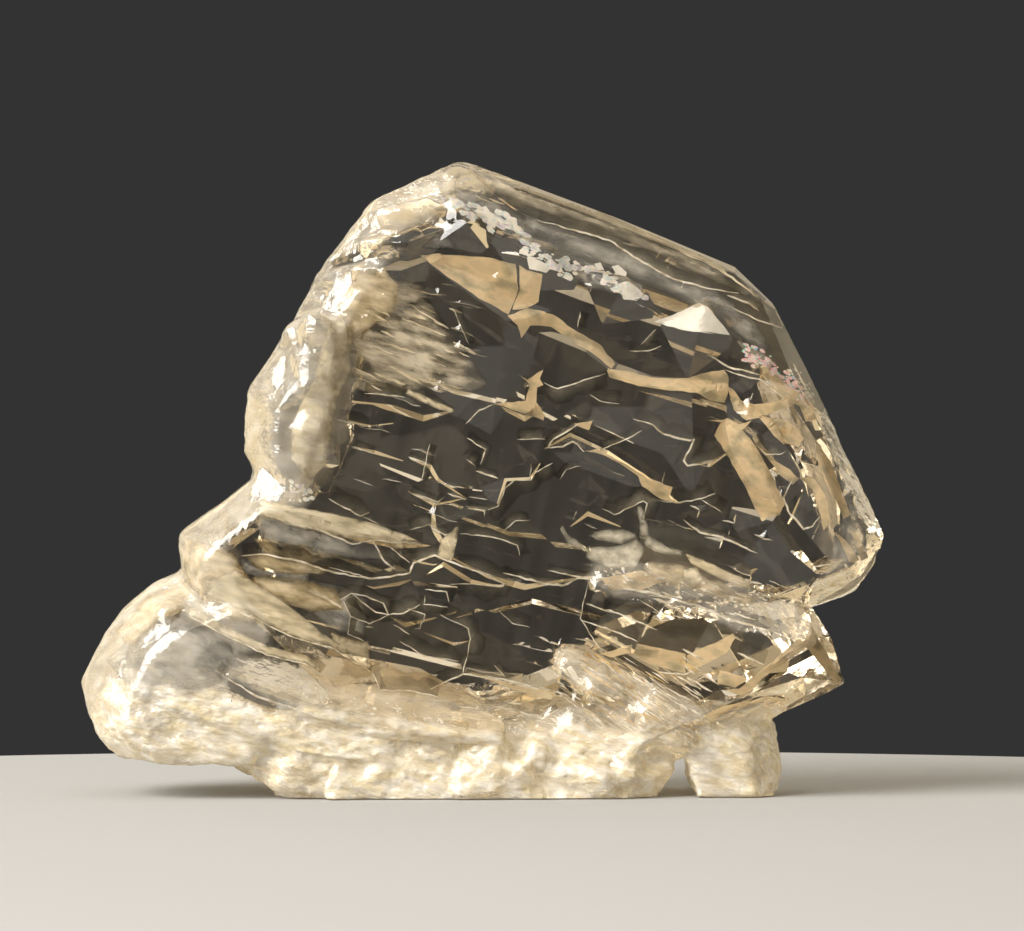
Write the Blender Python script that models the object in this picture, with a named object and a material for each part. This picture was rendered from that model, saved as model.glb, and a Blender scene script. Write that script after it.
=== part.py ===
"""A clear quartz crystal cluster, 64 mm wide and 51 mm high, cut flat where it grew on rock.

The cluster is one solid: a broad tabular crystal, two smaller blades, a lump and a column grown against
it, and the rough crust of grains at its foot. Lengths are written in millimetres and turned to metres by
MM. X runs to the right, Y runs from the front to the back, and Z is up, with the origin under the middle
of the cut base.
"""

import math
import random

import bmesh
import bpy
from mathutils import Matrix, Vector

MM = 0.001

# Overall size
HALF_WIDTH = 32.0
HEIGHT = 50.7
BASE_HALF_DEPTH = 10.5

# The broad crystal: its flat front and back, and how far its main axis leans to the right
FRONT = -7.0
BACK = 7.0
LEAN = math.radians(16.0)

# How deep a step or a ledge is sunk into the face that it stands on
EMBED = 0.25

# The share of its height that a step keeps at its two ends
END_SHARE = 0.2

# How uneven a grain is: the range of its corners' distance from its middle, the range of its stretch
# along each axis, and how far it may turn from the lean of the crystal
GRAIN_CORNERS = (0.78, 1.16)
GRAIN_STRETCH = (0.8, 1.2)
GRAIN_TURN = 0.6

# Vertices nearer than this are one
WELD = 0.002

NODE = "quartz_crystal"
SEED = 9

QUARTZ_COLOUR = (0.93, 0.88, 0.76, 1.0)
QUARTZ_ROUGHNESS = 0.05
QUARTZ_IOR = 1.544


def clear_scene():
    for item in list(bpy.data.objects):
        bpy.data.objects.remove(item, do_unlink=True)


def point(x, y, z):
    return Vector((x, y, z)) * MM


def new_object(name, bm):
    bmesh.ops.recalc_face_normals(bm, faces=bm.faces)
    mesh = bpy.data.meshes.new(name)
    bm.to_mesh(mesh)
    bm.free()
    item = bpy.data.objects.new(name, mesh)
    bpy.context.scene.collection.objects.link(item)
    return item


def slab(outline, front, back):
    """A plate whose outline is given as (x, z) corners, between two y values."""
    bm = bmesh.new()
    rim = [bm.verts.new(point(x, front, z)) for x, z in outline]
    face = bm.faces.new(rim)
    grown = bmesh.ops.extrude_face_region(bm, geom=[face])
    moved = [part for part in grown["geom"] if isinstance(part, bmesh.types.BMVert)]
    bmesh.ops.translate(bm, verts=moved, vec=point(0.0, back - front, 0.0))
    bmesh.ops.recalc_face_normals(bm, faces=bm.faces)
    return bm


def shave(bm, on_plane, normal):
    """Cuts away all that lies beyond a plane, and closes the cut."""
    geometry = bm.verts[:] + bm.edges[:] + bm.faces[:]
    cut = bmesh.ops.bisect_plane(bm, geom=geometry, plane_co=on_plane, plane_no=normal, clear_outer=True)
    edges = [part for part in cut["geom_cut"] if isinstance(part, bmesh.types.BMEdge)]
    if edges:
        bmesh.ops.edgenet_fill(bm, edges=edges)


def shave_rim(bm, start, end, face_y, inset, drop):
    """Slopes the rim of a plate along one side of its outline.

    The slope starts on the flat face, `inset` in from the side, and meets the side `drop` below the face.
    The outline runs anticlockwise as seen from the front, so its outer side is on the right of the run.
    """
    run = Vector((end[0] - start[0], 0.0, end[1] - start[1])).normalized()
    outer = Vector((run.z, 0.0, -run.x))
    facing = -1.0 if face_y < 0.0 else 1.0
    normal = outer * drop + Vector((0.0, facing * inset, 0.0))
    edge = Vector((start[0], face_y - facing * drop, start[1]))
    shave(bm, edge * MM, normal.normalized())


def blade(name, outline, front, back, slopes):
    """A tabular crystal: a convex plate with sloping rim faces given as (side, face_y, inset, drop)."""
    bm = slab(outline, front, back)
    for side, face_y, inset, drop in slopes:
        shave_rim(bm, outline[side], outline[(side + 1) % len(outline)], face_y, inset, drop)
    return new_object(name, bm)


def grain(name, centre, radii, turn, chance):
    """A rough lump with flat faces: a twenty-sided ball, jittered and stretched."""
    bm = bmesh.new()
    bmesh.ops.create_icosphere(bm, subdivisions=1, radius=1.0)
    for vert in bm.verts:
        vert.co *= chance.uniform(*GRAIN_CORNERS)
    bmesh.ops.scale(bm, vec=Vector(radii) * MM, verts=bm.verts)
    bmesh.ops.rotate(bm, matrix=Matrix.Rotation(turn, 3, "Y"), verts=bm.verts)
    bmesh.ops.translate(bm, vec=point(*centre), verts=bm.verts)
    return new_object(name, bm)


def ledge(name, crest, face_y, height, riser, tail):
    """A growth step on a flat face.

    Its crest is a broken line of (x, z) points, and a third value at a point is the share of the height
    that the crest has there. A steep riser, `riser` wide, falls on the right of the run, and a long
    gentle slope, `tail` long, runs out on the left. The ends taper away.
    """
    facing = -1.0 if face_y < 0.0 else 1.0
    bm = bmesh.new()
    rings = []
    last = len(crest) - 1
    for index, (x, z, *share) in enumerate(crest):
        before = crest[max(index - 1, 0)]
        after = crest[min(index + 1, last)]
        run = Vector((after[0] - before[0], 0.0, after[1] - before[1])).normalized()
        across = Vector((run.z, 0.0, -run.x))
        rise = height * (share[0] if share else 1.0)
        if index in (0, last):
            rise *= END_SHARE
        top = Vector((x, face_y + facing * rise, z))
        under = Vector((x, face_y - facing * EMBED, z))
        steep = under + across * riser * (rise + EMBED) / height
        gentle = under - across * tail * (rise + EMBED) / height
        rings.append([bm.verts.new(corner * MM) for corner in (top, steep, gentle)])
    for ring, following in zip(rings, rings[1:]):
        for corner in range(3):
            beside = (corner + 1) % 3
            bm.faces.new((ring[corner], ring[beside], following[beside], following[corner]))
    bm.faces.new(rings[0])
    bm.faces.new(reversed(rings[-1]))
    bmesh.ops.triangulate(bm, faces=bm.faces[:])
    return new_object(name, bm)


# The blades: corners as (x, z), anticlockwise as seen from the front. A slope names the corner that its
# side starts from, the flat face that it leaves, how far in it starts, and how far it drops.
BROAD_CORNERS = {
    "tip": (-1.7, 50.7),
    "cap": (-8.9, 47.3),
    "shoulder": (-13.0, 41.8),
    "flank": (-17.0, 34.0),
    "waist": (-18.5, 25.0),
    "hip": (-20.0, 10.0),
    "heel": (-16.0, -1.0),
    "toe": (14.0, -1.0),
    "gusset": (26.3, 14.8),
    "spur_heel": (29.9, 16.2),
    "spur_foot": (31.5, 18.6),
    "spur": (32.0, 20.7),
    "spur_head": (31.2, 22.8),
    "arm": (26.1, 33.5),
    "elbow": (23.2, 39.2),
    "crown": (20.2, 42.1),
    "ridge": (10.6, 46.1),
}
BROAD_SLOPES = (
    ("ridge", FRONT, 5.6, 1.6),
    ("ridge", FRONT, 1.0, 4.2),
    ("crown", FRONT, 5.2, 1.5),
    ("crown", FRONT, 1.0, 4.0),
    ("elbow", FRONT, 4.2, 1.6),
    ("elbow", FRONT, 0.9, 3.8),
    ("arm", FRONT, 1.6, 2.8),
    ("spur_head", FRONT, 1.5, 3.2),
    ("gusset", FRONT, 2.2, 3.2),
    ("spur_heel", FRONT, 1.6, 3.4),
    ("tip", FRONT, 4.5, 3.4),
    ("cap", FRONT, 3.6, 3.2),
    ("shoulder", FRONT, 3.2, 3.0),
    ("flank", FRONT, 2.6, 3.0),
    ("ridge", BACK, 6.8, 2.4),
    ("ridge", BACK, 1.4, 4.4),
    ("crown", BACK, 6.0, 2.2),
    ("crown", BACK, 1.4, 4.2),
    ("elbow", BACK, 5.0, 2.4),
    ("arm", BACK, 2.6, 3.4),
    ("spur_head", BACK, 2.2, 3.8),
    ("gusset", BACK, 3.2, 3.0),
    ("tip", BACK, 3.6, 3.8),
    ("cap", BACK, 4.4, 3.4),
    ("shoulder", BACK, 3.4, 3.4),
    ("flank", BACK, 3.0, 3.4),
)

SIDE_FRONT = -9.0
SIDE_BACK = 5.0
SIDE_CORNERS = {
    "top": (-11.5, 27.3),
    "shoulder": (-18.6, 25.0),
    "step": (-20.6, 23.4),
    "corner": (-24.3, 20.8),
    "notch": (-23.8, 17.6),
    "foot": (-18.0, 8.0),
    "root": (-5.0, 9.0),
    "rise": (-6.0, 20.0),
}
SIDE_SLOPES = (
    ("top", SIDE_FRONT, 2.2, 2.4),
    ("shoulder", SIDE_FRONT, 2.6, 3.2),
    ("step", SIDE_FRONT, 2.4, 4.0),
    ("corner", SIDE_FRONT, 2.0, 3.0),
    ("rise", SIDE_FRONT, 7.0, 2.2),
    ("root", SIDE_FRONT, 9.0, 2.2),
    ("shoulder", SIDE_BACK, 3.0, 3.6),
    ("step", SIDE_BACK, 3.4, 3.4),
    ("corner", SIDE_BACK, 3.0, 3.0),
)

LUMP_FRONT = -9.8
LUMP_BACK = 8.4
LUMP_CORNERS = {
    "top": (-22.0, 18.7),
    "brow": (-26.2, 16.9),
    "temple": (-28.6, 14.9),
    "cheek": (-30.0, 13.0),
    "side": (-31.3, 10.5),
    "nose": (-32.0, 9.0),
    "lip": (-31.5, 6.8),
    "chin": (-30.3, 4.2),
    "jaw": (-28.8, 2.9),
    "root": (-18.6, 2.5),
    "core": (-12.0, 8.0),
}
LUMP_SLOPES = (
    ("top", LUMP_FRONT, 4.6, 5.0),
    ("brow", LUMP_FRONT, 4.6, 4.2),
    ("temple", LUMP_FRONT, 4.0, 5.2),
    ("cheek", LUMP_FRONT, 3.4, 5.0),
    ("side", LUMP_FRONT, 4.4, 4.4),
    ("nose", LUMP_FRONT, 3.0, 4.8),
    ("chin", LUMP_FRONT, 2.4, 4.0),
    ("top", LUMP_BACK, 4.8, 4.4),
    ("brow", LUMP_BACK, 3.8, 4.6),
    ("cheek", LUMP_BACK, 4.2, 3.6),
    ("side", LUMP_BACK, 3.4, 4.4),
    ("nose", LUMP_BACK, 3.6, 3.8),
    ("chin", LUMP_BACK, 2.6, 3.4),
)

CORNER_FRONT = -8.8
CORNER_BACK = 6.0
CORNER_CORNERS = {
    "top": (24.6, 15.6),
    "back": (9.0, 13.6),
    "root": (4.0, 5.0),
    "under": (10.0, 0.0),
    "foot": (22.0, 5.7),
    "edge": (27.6, 8.2),
    "point": (28.8, 8.9),
    "side": (27.8, 12.4),
    "neck": (26.4, 14.8),
}
CORNER_SLOPES = (
    ("top", CORNER_FRONT, 5.5, 2.0),
    ("back", CORNER_FRONT, 8.0, 1.8),
    ("foot", CORNER_FRONT, 2.6, 3.6),
    ("edge", CORNER_FRONT, 3.2, 2.4),
    ("point", CORNER_FRONT, 4.2, 3.2),
    ("side", CORNER_FRONT, 2.4, 3.4),
    ("foot", CORNER_BACK, 3.2, 3.6),
    ("point", CORNER_BACK, 3.8, 4.0),
    ("side", CORNER_BACK, 2.6, 3.0),
)

# The thick lumpy column up the left side, the rough crust along the foot, and the small foot on the right
COLUMN_FRONT = -8.8
COLUMN_BACK = 8.2
COLUMN_CORNERS = {
    "top": (-9.6, 40.0),
    "shoulder": (-14.8, 38.0),
    "bulge": (-18.7, 32.2),
    "waist": (-19.0, 27.4),
    "foot": (-17.4, 24.4),
    "heel": (-13.4, 23.0),
    "inside": (-10.6, 30.0),
}
COLUMN_SLOPES = (
    ("top", COLUMN_FRONT, 3.0, 3.2),
    ("shoulder", COLUMN_FRONT, 3.0, 3.4),
    ("bulge", COLUMN_FRONT, 2.6, 3.4),
    ("waist", COLUMN_FRONT, 2.2, 3.0),
    ("heel", COLUMN_FRONT, 1.6, 2.0),
    ("inside", COLUMN_FRONT, 1.6, 2.0),
    ("shoulder", COLUMN_BACK, 3.4, 3.2),
    ("bulge", COLUMN_BACK, 3.0, 3.2),
    ("waist", COLUMN_BACK, 2.4, 3.0),
)

CRUST_FRONT = -9.6
CRUST_BACK = 9.6
CRUST_CORNERS = {
    "right": (14.0, 6.0),
    "left": (-24.0, 15.4),
    "shoulder": (-28.0, 12.0),
    "chin": (-26.0, 7.0),
    "heel": (-17.0, 1.3),
    "sole_left": (-13.2, -1.0),
    "sole_right": (13.0, -1.0),
    "toe": (15.4, 2.0),
}
CRUST_SLOPES = (
    ("right", CRUST_FRONT, 8.0, 4.4),
    ("right", CRUST_BACK, 8.0, 5.0),
    ("left", CRUST_FRONT, 3.0, 3.0),
    ("chin", CRUST_FRONT, 2.4, 2.0),
    ("chin", CRUST_BACK, 3.0, 2.4),
    ("sole_right", CRUST_FRONT, 2.4, 3.0),
)

FOOT_FRONT = -7.4
FOOT_BACK = 6.4
FOOT_CORNERS = {
    "top": (20.6, 8.2),
    "inside": (15.4, 6.0),
    "heel": (17.4, -1.0),
    "sole": (22.6, -1.0),
    "toe": (24.0, 1.6),
    "side": (23.4, 5.6),
}
FOOT_SLOPES = (
    ("toe", FOOT_FRONT, 2.4, 3.0),
    ("side", FOOT_FRONT, 2.6, 2.4),
    ("heel", FOOT_FRONT, 1.0, 1.2),
    ("toe", FOOT_BACK, 2.6, 3.0),
    ("side", FOOT_BACK, 3.0, 2.4),
)

# The growth steps: a crest as (x, z) points, then height, riser and tail. A step falls on the right of its
# run, so one that runs to the right falls towards the base, and one that runs to the left falls upwards.
FRONT_STEPS = (
    # four ribs up the left side
    (((-18.6, 23.6), (-15.0, 22.6), (-10.0, 20.8, 0.7), (-4.1, 19.9, 0.3)), 1.8, 2.0, 9.0),
    (((-20.4, 18.8), (-14.5, 17.8, 0.7), (-8.5, 16.6, 0.5), (-5.6, 17.2, 0.4)), 1.3, 1.3, 7.0),
    (((-21.6, 17.0), (-17.0, 14.3), (-12.0, 11.8), (-8.3, 9.8, 0.6)), 2.2, 2.4, 9.0),
    (((-23.0, 15.0), (-18.0, 11.8), (-15.0, 10.6), (-12.0, 9.6, 0.6)), 1.9, 1.3, 7.0),
    (((-12.0, 8.6), (-8.0, 7.6), (-2.0, 7.2), (4.0, 6.0)), 0.8, 0.8, 6.0),
    # the wedge under the tip, and the long ribbon that runs on from it to the right
    (((5.4, 38.4, 0.6), (2.0, 37.6), (-0.2, 39.2), (-5.0, 42.6)), 1.1, 1.9, 9.0),
    (((19.4, 32.6), (16.6, 32.2), (13.4, 32.4), (10.4, 33.5), (8.2, 35.2), (3.4, 37.2)), 0.8, 0.9, 8.0),
    # cells and ledges down the right side
    (((19.2, 29.8), (20.8, 28.0), (22.2, 25.6), (23.6, 22.8)), 1.1, 1.4, 3.6),
    (((26.4, 21.9), (25.2, 25.9), (23.0, 29.4), (19.6, 31.6)), 1.0, 0.9, 4.0),
    (((28.4, 18.6), (28.0, 23.5), (26.4, 28.2), (24.2, 31.6), (20.6, 34.2)), 1.1, 0.8, 4.0),
    (((24.2, 21.6), (25.8, 25.2), (28.6, 26.2)), 0.8, 0.7, 2.0),
    (((26.8, 17.4), (24.4, 19.4), (23.0, 21.8), (19.8, 22.8)), 0.7, 0.8, 4.0),
    (((23.2, 31.2), (22.0, 34.0), (20.2, 36.0)), 0.9, 0.9, 3.0),
    (((29.6, 24.4), (27.4, 23.0), (26.2, 20.4)), 0.8, 0.7, 1.6),
    (((26.9, 27.6), (26.0, 30.0), (24.2, 32.4)), 0.8, 0.7, 2.0),
    # the bright little facet at the top right, and the broken chain beside it
    (((19.8, 36.2, 0.8), (17.2, 36.9), (14.2, 37.5, 0.3)), 1.4, 2.2, 4.0),
    (((13.8, 38.4), (11.0, 40.0), (8.4, 41.4)), 0.8, 1.0, 3.0),
    (((7.6, 40.6), (4.8, 42.6), (1.0, 44.4)), 0.9, 1.1, 3.0),
    (((0.4, 43.4), (-1.2, 45.4), (-2.4, 47.6)), 0.9, 1.0, 3.0),
    # the cap on the upper left, stepped in low rises
    (((-3.2, 42.8), (-6.4, 41.6), (-10.6, 41.8)), 1.2, 1.2, 4.0),
    (((-2.8, 45.0), (-6.0, 43.8), (-10.0, 44.0)), 1.0, 1.0, 2.8),
    (((-3.6, 47.4), (-6.4, 46.2), (-8.6, 46.2)), 0.9, 0.9, 2.4),
    # thin broken steps across the broad face
    (((-5.7, 26.8), (-4.0, 26.3), (-3.4, 25.2), (-1.2, 23.6)), 0.4, 0.35, 4.0),
    (((-3.8, 23.4), (-3.6, 21.4), (-2.4, 19.0), (0.4, 17.6), (3.4, 16.8), (8.0, 17.4)), 0.5, 0.45, 5.0),
    (((1.2, 31.0), (3.4, 30.2), (5.2, 31.0)), 0.5, 0.5, 4.0),
    (((3.4, 31.6), (3.6, 33.4)), 0.45, 0.7, 2.0),
    (((5.0, 27.6), (7.0, 28.8), (10.0, 27.4), (13.0, 25.4), (15.6, 23.3)), 0.5, 0.45, 5.0),
    (((12.0, 29.8), (14.0, 28.8), (16.6, 28.1)), 0.4, 0.4, 4.0),
    (((15.8, 26.3), (18.0, 26.5), (19.6, 27.3)), 0.4, 0.4, 3.0),
    (((-10.6, 31.4), (-7.0, 31.0), (-4.6, 30.2), (-2.2, 30.6)), 0.45, 0.5, 4.0),
    (((-4.4, 17.6), (-3.0, 18.6), (-0.8, 17.2), (1.6, 16.6)), 0.4, 0.4, 3.0),
    (((-11.0, 29.9), (-8.8, 29.4), (-7.0, 29.6)), 0.35, 0.3, 3.0),
    (((-10.6, 27.8), (-8.4, 27.4), (-6.2, 26.6)), 0.35, 0.3, 3.0),
    (((-5.8, 24.2), (-3.6, 23.2), (-1.6, 23.6)), 0.35, 0.3, 3.0),
    (((1.2, 23.2), (1.8, 25.2), (3.8, 25.3), (4.6, 26.4)), 0.35, 0.3, 3.0),
    (((-5.6, 18.8), (-3.8, 18.4), (-2.8, 18.5)), 0.35, 0.3, 2.4),
    (((-8.4, 14.6), (-6.0, 13.8), (-3.6, 14.2)), 0.4, 0.4, 3.6),
    (((-4.6, 13.0), (-2.2, 12.2), (1.0, 12.6)), 0.4, 0.4, 3.6),
    (((7.0, 21.4), (8.4, 22.6), (11.0, 21.4)), 0.4, 0.4, 3.0),
    (((-2.8, 9.6), (-1.2, 10.0), (3.0, 8.8), (7.0, 7.8)), 0.5, 0.5, 5.0),
    # the fan and the steps over the crumpled seam
    (((10.4, 17.2), (13.8, 17.8), (18.0, 16.4), (21.6, 15.6)), 0.8, 0.8, 4.0),
    (((15.0, 19.2), (18.0, 18.2), (21.4, 16.9)), 0.5, 0.6, 4.0),
    # the lower right blade
    (((9.0, 13.2), (12.2, 11.6), (15.8, 10.6), (20.2, 12.2)), 1.3, 0.9, 6.0),
    (((18.4, 7.6), (21.2, 9.2), (24.0, 11.0), (26.6, 12.8)), 2.0, 1.2, 6.0),
    (((6.0, 11.6), (9.0, 9.4), (12.0, 7.2), (15.0, 5.6)), 1.3, 0.9, 3.0),
    (((9.6, 11.8), (12.6, 9.6), (15.2, 7.4), (18.0, 6.4)), 1.3, 0.8, 3.0),
)
BACK_STEPS = (
    (((20.0, 36.0), (14.0, 37.6), (8.0, 39.6), (0.0, 42.6)), 0.7, 0.8, 7.0),
    (((-8.0, 36.0), (-2.0, 33.0), (4.0, 31.6), (12.0, 27.6)), 0.4, 0.4, 4.6),
    (((14.0, 17.6), (8.0, 19.4), (2.0, 20.0), (-6.0, 23.2)), 0.4, 0.4, 5.0),
    (((24.6, 24.0), (21.0, 26.6), (18.4, 31.0), (12.0, 33.0)), 0.6, 0.5, 7.0),
    (((-10.0, 27.0), (-4.0, 24.8), (0.0, 24.2)), 0.4, 0.4, 5.0),
    (((22.0, 13.4), (12.0, 13.0), (4.0, 15.0), (-4.0, 13.0)), 0.5, 0.5, 7.0),
    (((-16.0, 20.0), (-8.0, 17.2), (-2.0, 16.4)), 0.6, 0.6, 8.0),
    (((-17.0, 13.0), (-8.0, 11.0), (0.0, 9.0), (8.0, 8.6)), 0.4, 0.4, 5.0),
)
# The ridge that runs down across the crust, on the crust's own front
CRUST_STEPS = (
    (((-21.4, 10.6), (-17.6, 8.2), (-12.0, 6.4), (-5.6, 5.2), (2.0, 4.4)), 0.9, 0.9, 4.0),
    (((-27.4, 8.0), (-22.0, 6.6), (-15.0, 3.8), (-7.0, 2.8)), 0.8, 0.8, 4.0),
)

# Grains along the rough parts: each run is a broken line of (x, y, z) points, with the grains' spacing,
# their smallest and largest radius, and how far each may stray
GRAIN_RUNS = (
    # the lumpy edge from the cap down the left column
    (((-3.6, -3.2, 47.4), (-7.4, -3.4, 45.4), (-10.6, -4.0, 41.4), (-12.4, -4.6, 38.6)), 1.7, 1.6, 2.2, 0.4),
    (((-4.2, 3.2, 47.0), (-8.6, 3.6, 43.6), (-11.4, 4.0, 39.4)), 2.0, 1.7, 2.4, 0.4),
    (((-13.8, -5.4, 36.0), (-15.6, -5.4, 32.8), (-16.6, -5.2, 29.4), (-16.4, -5.4, 26.4)), 1.7, 2.0, 2.7, 0.4),
    (((-13.6, 5.2, 35.4), (-15.6, 4.8, 31.0), (-16.0, 4.6, 26.8)), 2.0, 2.1, 2.8, 0.4),
    (((-12.8, -7.2, 36.0), (-13.8, -7.2, 31.0), (-13.4, -7.0, 26.2)), 1.6, 1.6, 2.3, 0.6),
    # the rounded end of the left lump
    (((-29.6, -3.6, 10.6), (-30.0, -4.0, 7.4), (-28.6, -3.6, 5.0)), 1.7, 1.5, 2.1, 0.3),
    (((-29.4, 3.2, 10.2), (-29.6, 3.4, 6.8), (-27.8, 3.2, 5.0)), 1.9, 1.6, 2.2, 0.3),
    (((-24.6, -7.6, 14.4), (-27.4, -6.8, 11.0), (-28.0, -6.0, 7.0)), 2.6, 1.2, 1.6, 0.6),
    # the crust, in rows from the base up
    (((-27.0, -6.2, 5.8), (-20.0, -7.6, 4.0), (-12.0, -8.0, 1.4), (12.6, -7.6, 1.2)), 1.6, 1.7, 2.5, 0.5),
    (((-25.4, -7.0, 8.6), (-16.0, -8.0, 5.4), (-4.0, -7.6, 3.4), (12.6, -6.8, 3.2)), 1.7, 1.6, 2.4, 0.5),
    (((-23.0, -7.6, 11.8), (-14.0, -7.6, 8.4), (-5.0, -6.8, 5.8), (9.0, -6.0, 5.0)), 1.9, 1.4, 2.0, 0.5),
    (((-27.0, 0.0, 5.4), (-22.0, 0.0, 4.6), (-17.0, 0.0, 2.2), (-13.0, 0.0, 0.8)), 1.9, 1.5, 2.0, 0.3),
    (((-26.4, 5.6, 6.4), (-18.0, 7.4, 3.6), (-8.0, 7.8, 1.6), (12.6, 7.4, 1.4)), 2.0, 2.0, 2.7, 0.5),
    (((-24.4, 6.2, 10.6), (-12.0, 7.2, 6.6), (4.0, 6.6, 4.4), (13.0, 6.0, 3.8)), 2.3, 1.8, 2.5, 0.5),
    # the crumpled seam between the broad crystal and the lower right blade
    (((9.2, -6.2, 17.0), (12.8, -6.4, 17.4), (17.0, -6.6, 15.8), (21.0, -6.4, 14.6), (25.0, -5.2, 13.8)),
     1.0, 1.0, 1.6, 0.25),
    # splinters at the root of the lower right blade, and the rough foot below it
    (((6.4, -7.2, 10.6), (10.4, -7.6, 8.0), (14.4, -7.4, 5.6), (17.0, -6.8, 3.8)), 1.2, 1.2, 1.9, 0.4),
    (((17.6, -5.4, 1.6), (20.0, -5.8, 3.2), (22.0, -4.6, 2.4), (21.8, -3.0, 4.6)), 1.3, 1.5, 2.1, 0.3),
    (((17.6, 4.2, 1.6), (20.6, 4.6, 3.4), (22.0, 3.0, 2.2)), 1.6, 1.6, 2.2, 0.3),
)


def blades():
    plans = (
        ("broad_crystal", BROAD_CORNERS, FRONT, BACK, BROAD_SLOPES),
        ("side_blade", SIDE_CORNERS, SIDE_FRONT, SIDE_BACK, SIDE_SLOPES),
        ("left_lump", LUMP_CORNERS, LUMP_FRONT, LUMP_BACK, LUMP_SLOPES),
        ("corner_blade", CORNER_CORNERS, CORNER_FRONT, CORNER_BACK, CORNER_SLOPES),
        ("left_column", COLUMN_CORNERS, COLUMN_FRONT, COLUMN_BACK, COLUMN_SLOPES),
        ("foot_crust", CRUST_CORNERS, CRUST_FRONT, CRUST_BACK, CRUST_SLOPES),
        ("right_foot", FOOT_CORNERS, FOOT_FRONT, FOOT_BACK, FOOT_SLOPES),
    )
    made = []
    for name, corners, front, back, slopes in plans:
        order = list(corners)
        sides = [(order.index(corner), face_y, inset, drop) for corner, face_y, inset, drop in slopes]
        made.append(blade(name, list(corners.values()), front, back, sides))
    return made


def steps():
    made = []
    for face_y, plans in ((FRONT, FRONT_STEPS), (BACK, BACK_STEPS), (CRUST_FRONT, CRUST_STEPS)):
        for crest, height, riser, tail in plans:
            made.append(ledge("step", crest, face_y, height, riser, tail))
    return made


def grains(chance):
    made = []
    for run, spacing, smallest, largest, stray in GRAIN_RUNS:
        for start, end in zip(run, run[1:]):
            start, end = Vector(start), Vector(end)
            count = max(1, round((end - start).length / spacing))
            for index in range(count):
                middle = start.lerp(end, index / count)
                middle += Vector([chance.uniform(-stray, stray) for _ in range(3)])
                size = chance.uniform(smallest, largest)
                radii = [size * chance.uniform(*GRAIN_STRETCH) for _ in range(3)]
                turn = LEAN + chance.uniform(-GRAIN_TURN, GRAIN_TURN)
                made.append(grain("grain", middle, radii, turn, chance))
    return made


def join(pieces):
    """Unites all the pieces in the first one, by one Boolean over a collection."""
    body, others = pieces[0], pieces[1:]
    group = bpy.data.collections.new("grown_together")
    bpy.context.scene.collection.children.link(group)
    for other in others:
        bpy.context.scene.collection.objects.unlink(other)
        group.objects.link(other)
    union = body.modifiers.new("grown_together", "BOOLEAN")
    union.operation = "UNION"
    union.solver = "EXACT"
    union.operand_type = "COLLECTION"
    union.collection = group
    bpy.context.view_layer.update()
    ready = body.evaluated_get(bpy.context.evaluated_depsgraph_get())
    mesh = bpy.data.meshes.new_from_object(ready)
    for piece in pieces:
        bpy.data.objects.remove(piece, do_unlink=True)
    bpy.data.collections.remove(group)
    return mesh


def trim(bm):
    """Cuts the base flat, and squares off any grain that strays past the overall size."""
    shave(bm, point(0.0, 0.0, 0.0), Vector((0.0, 0.0, -1.0)))
    shave(bm, point(0.0, 0.0, HEIGHT), Vector((0.0, 0.0, 1.0)))
    for side in (-1.0, 1.0):
        shave(bm, point(side * HALF_WIDTH, 0.0, 0.0), Vector((side, 0.0, 0.0)))
        shave(bm, point(0.0, side * BASE_HALF_DEPTH, 0.0), Vector((0.0, side, 0.0)))


def weld(bm):
    """Closes up the slivers that the union leaves."""
    bmesh.ops.triangulate(bm, faces=bm.faces[:])
    bmesh.ops.remove_doubles(bm, verts=bm.verts[:], dist=WELD * MM)
    bmesh.ops.dissolve_degenerate(bm, dist=WELD * MM, edges=bm.edges[:])
    bmesh.ops.triangulate(bm, faces=bm.faces[:])


def quartz():
    """Clear rock crystal, with the faint warm tint that its inner flaws give it."""
    material = bpy.data.materials.new("clear_quartz")
    material.use_nodes = True
    shader = material.node_tree.nodes["Principled BSDF"]
    shader.inputs["Base Color"].default_value = QUARTZ_COLOUR
    shader.inputs["Roughness"].default_value = QUARTZ_ROUGHNESS
    shader.inputs["IOR"].default_value = QUARTZ_IOR
    shader.inputs["Transmission Weight"].default_value = 1.0
    return material


def main():
    clear_scene()
    mesh = join(blades() + steps() + grains(random.Random(SEED)))
    bm = bmesh.new()
    bm.from_mesh(mesh)
    trim(bm)
    weld(bm)
    crystal = new_object(NODE, bm)
    crystal.data.materials.append(quartz())


main()
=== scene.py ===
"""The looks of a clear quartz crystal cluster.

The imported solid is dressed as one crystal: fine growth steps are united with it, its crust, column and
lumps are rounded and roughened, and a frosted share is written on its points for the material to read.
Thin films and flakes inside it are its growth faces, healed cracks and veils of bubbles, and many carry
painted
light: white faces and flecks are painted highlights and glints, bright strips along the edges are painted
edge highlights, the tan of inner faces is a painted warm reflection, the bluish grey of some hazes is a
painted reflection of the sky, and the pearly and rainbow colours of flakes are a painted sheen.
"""

import math
import random

import bmesh
import bpy
from mathutils import Matrix, Vector, noise
from mathutils.bvhtree import BVHTree


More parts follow.
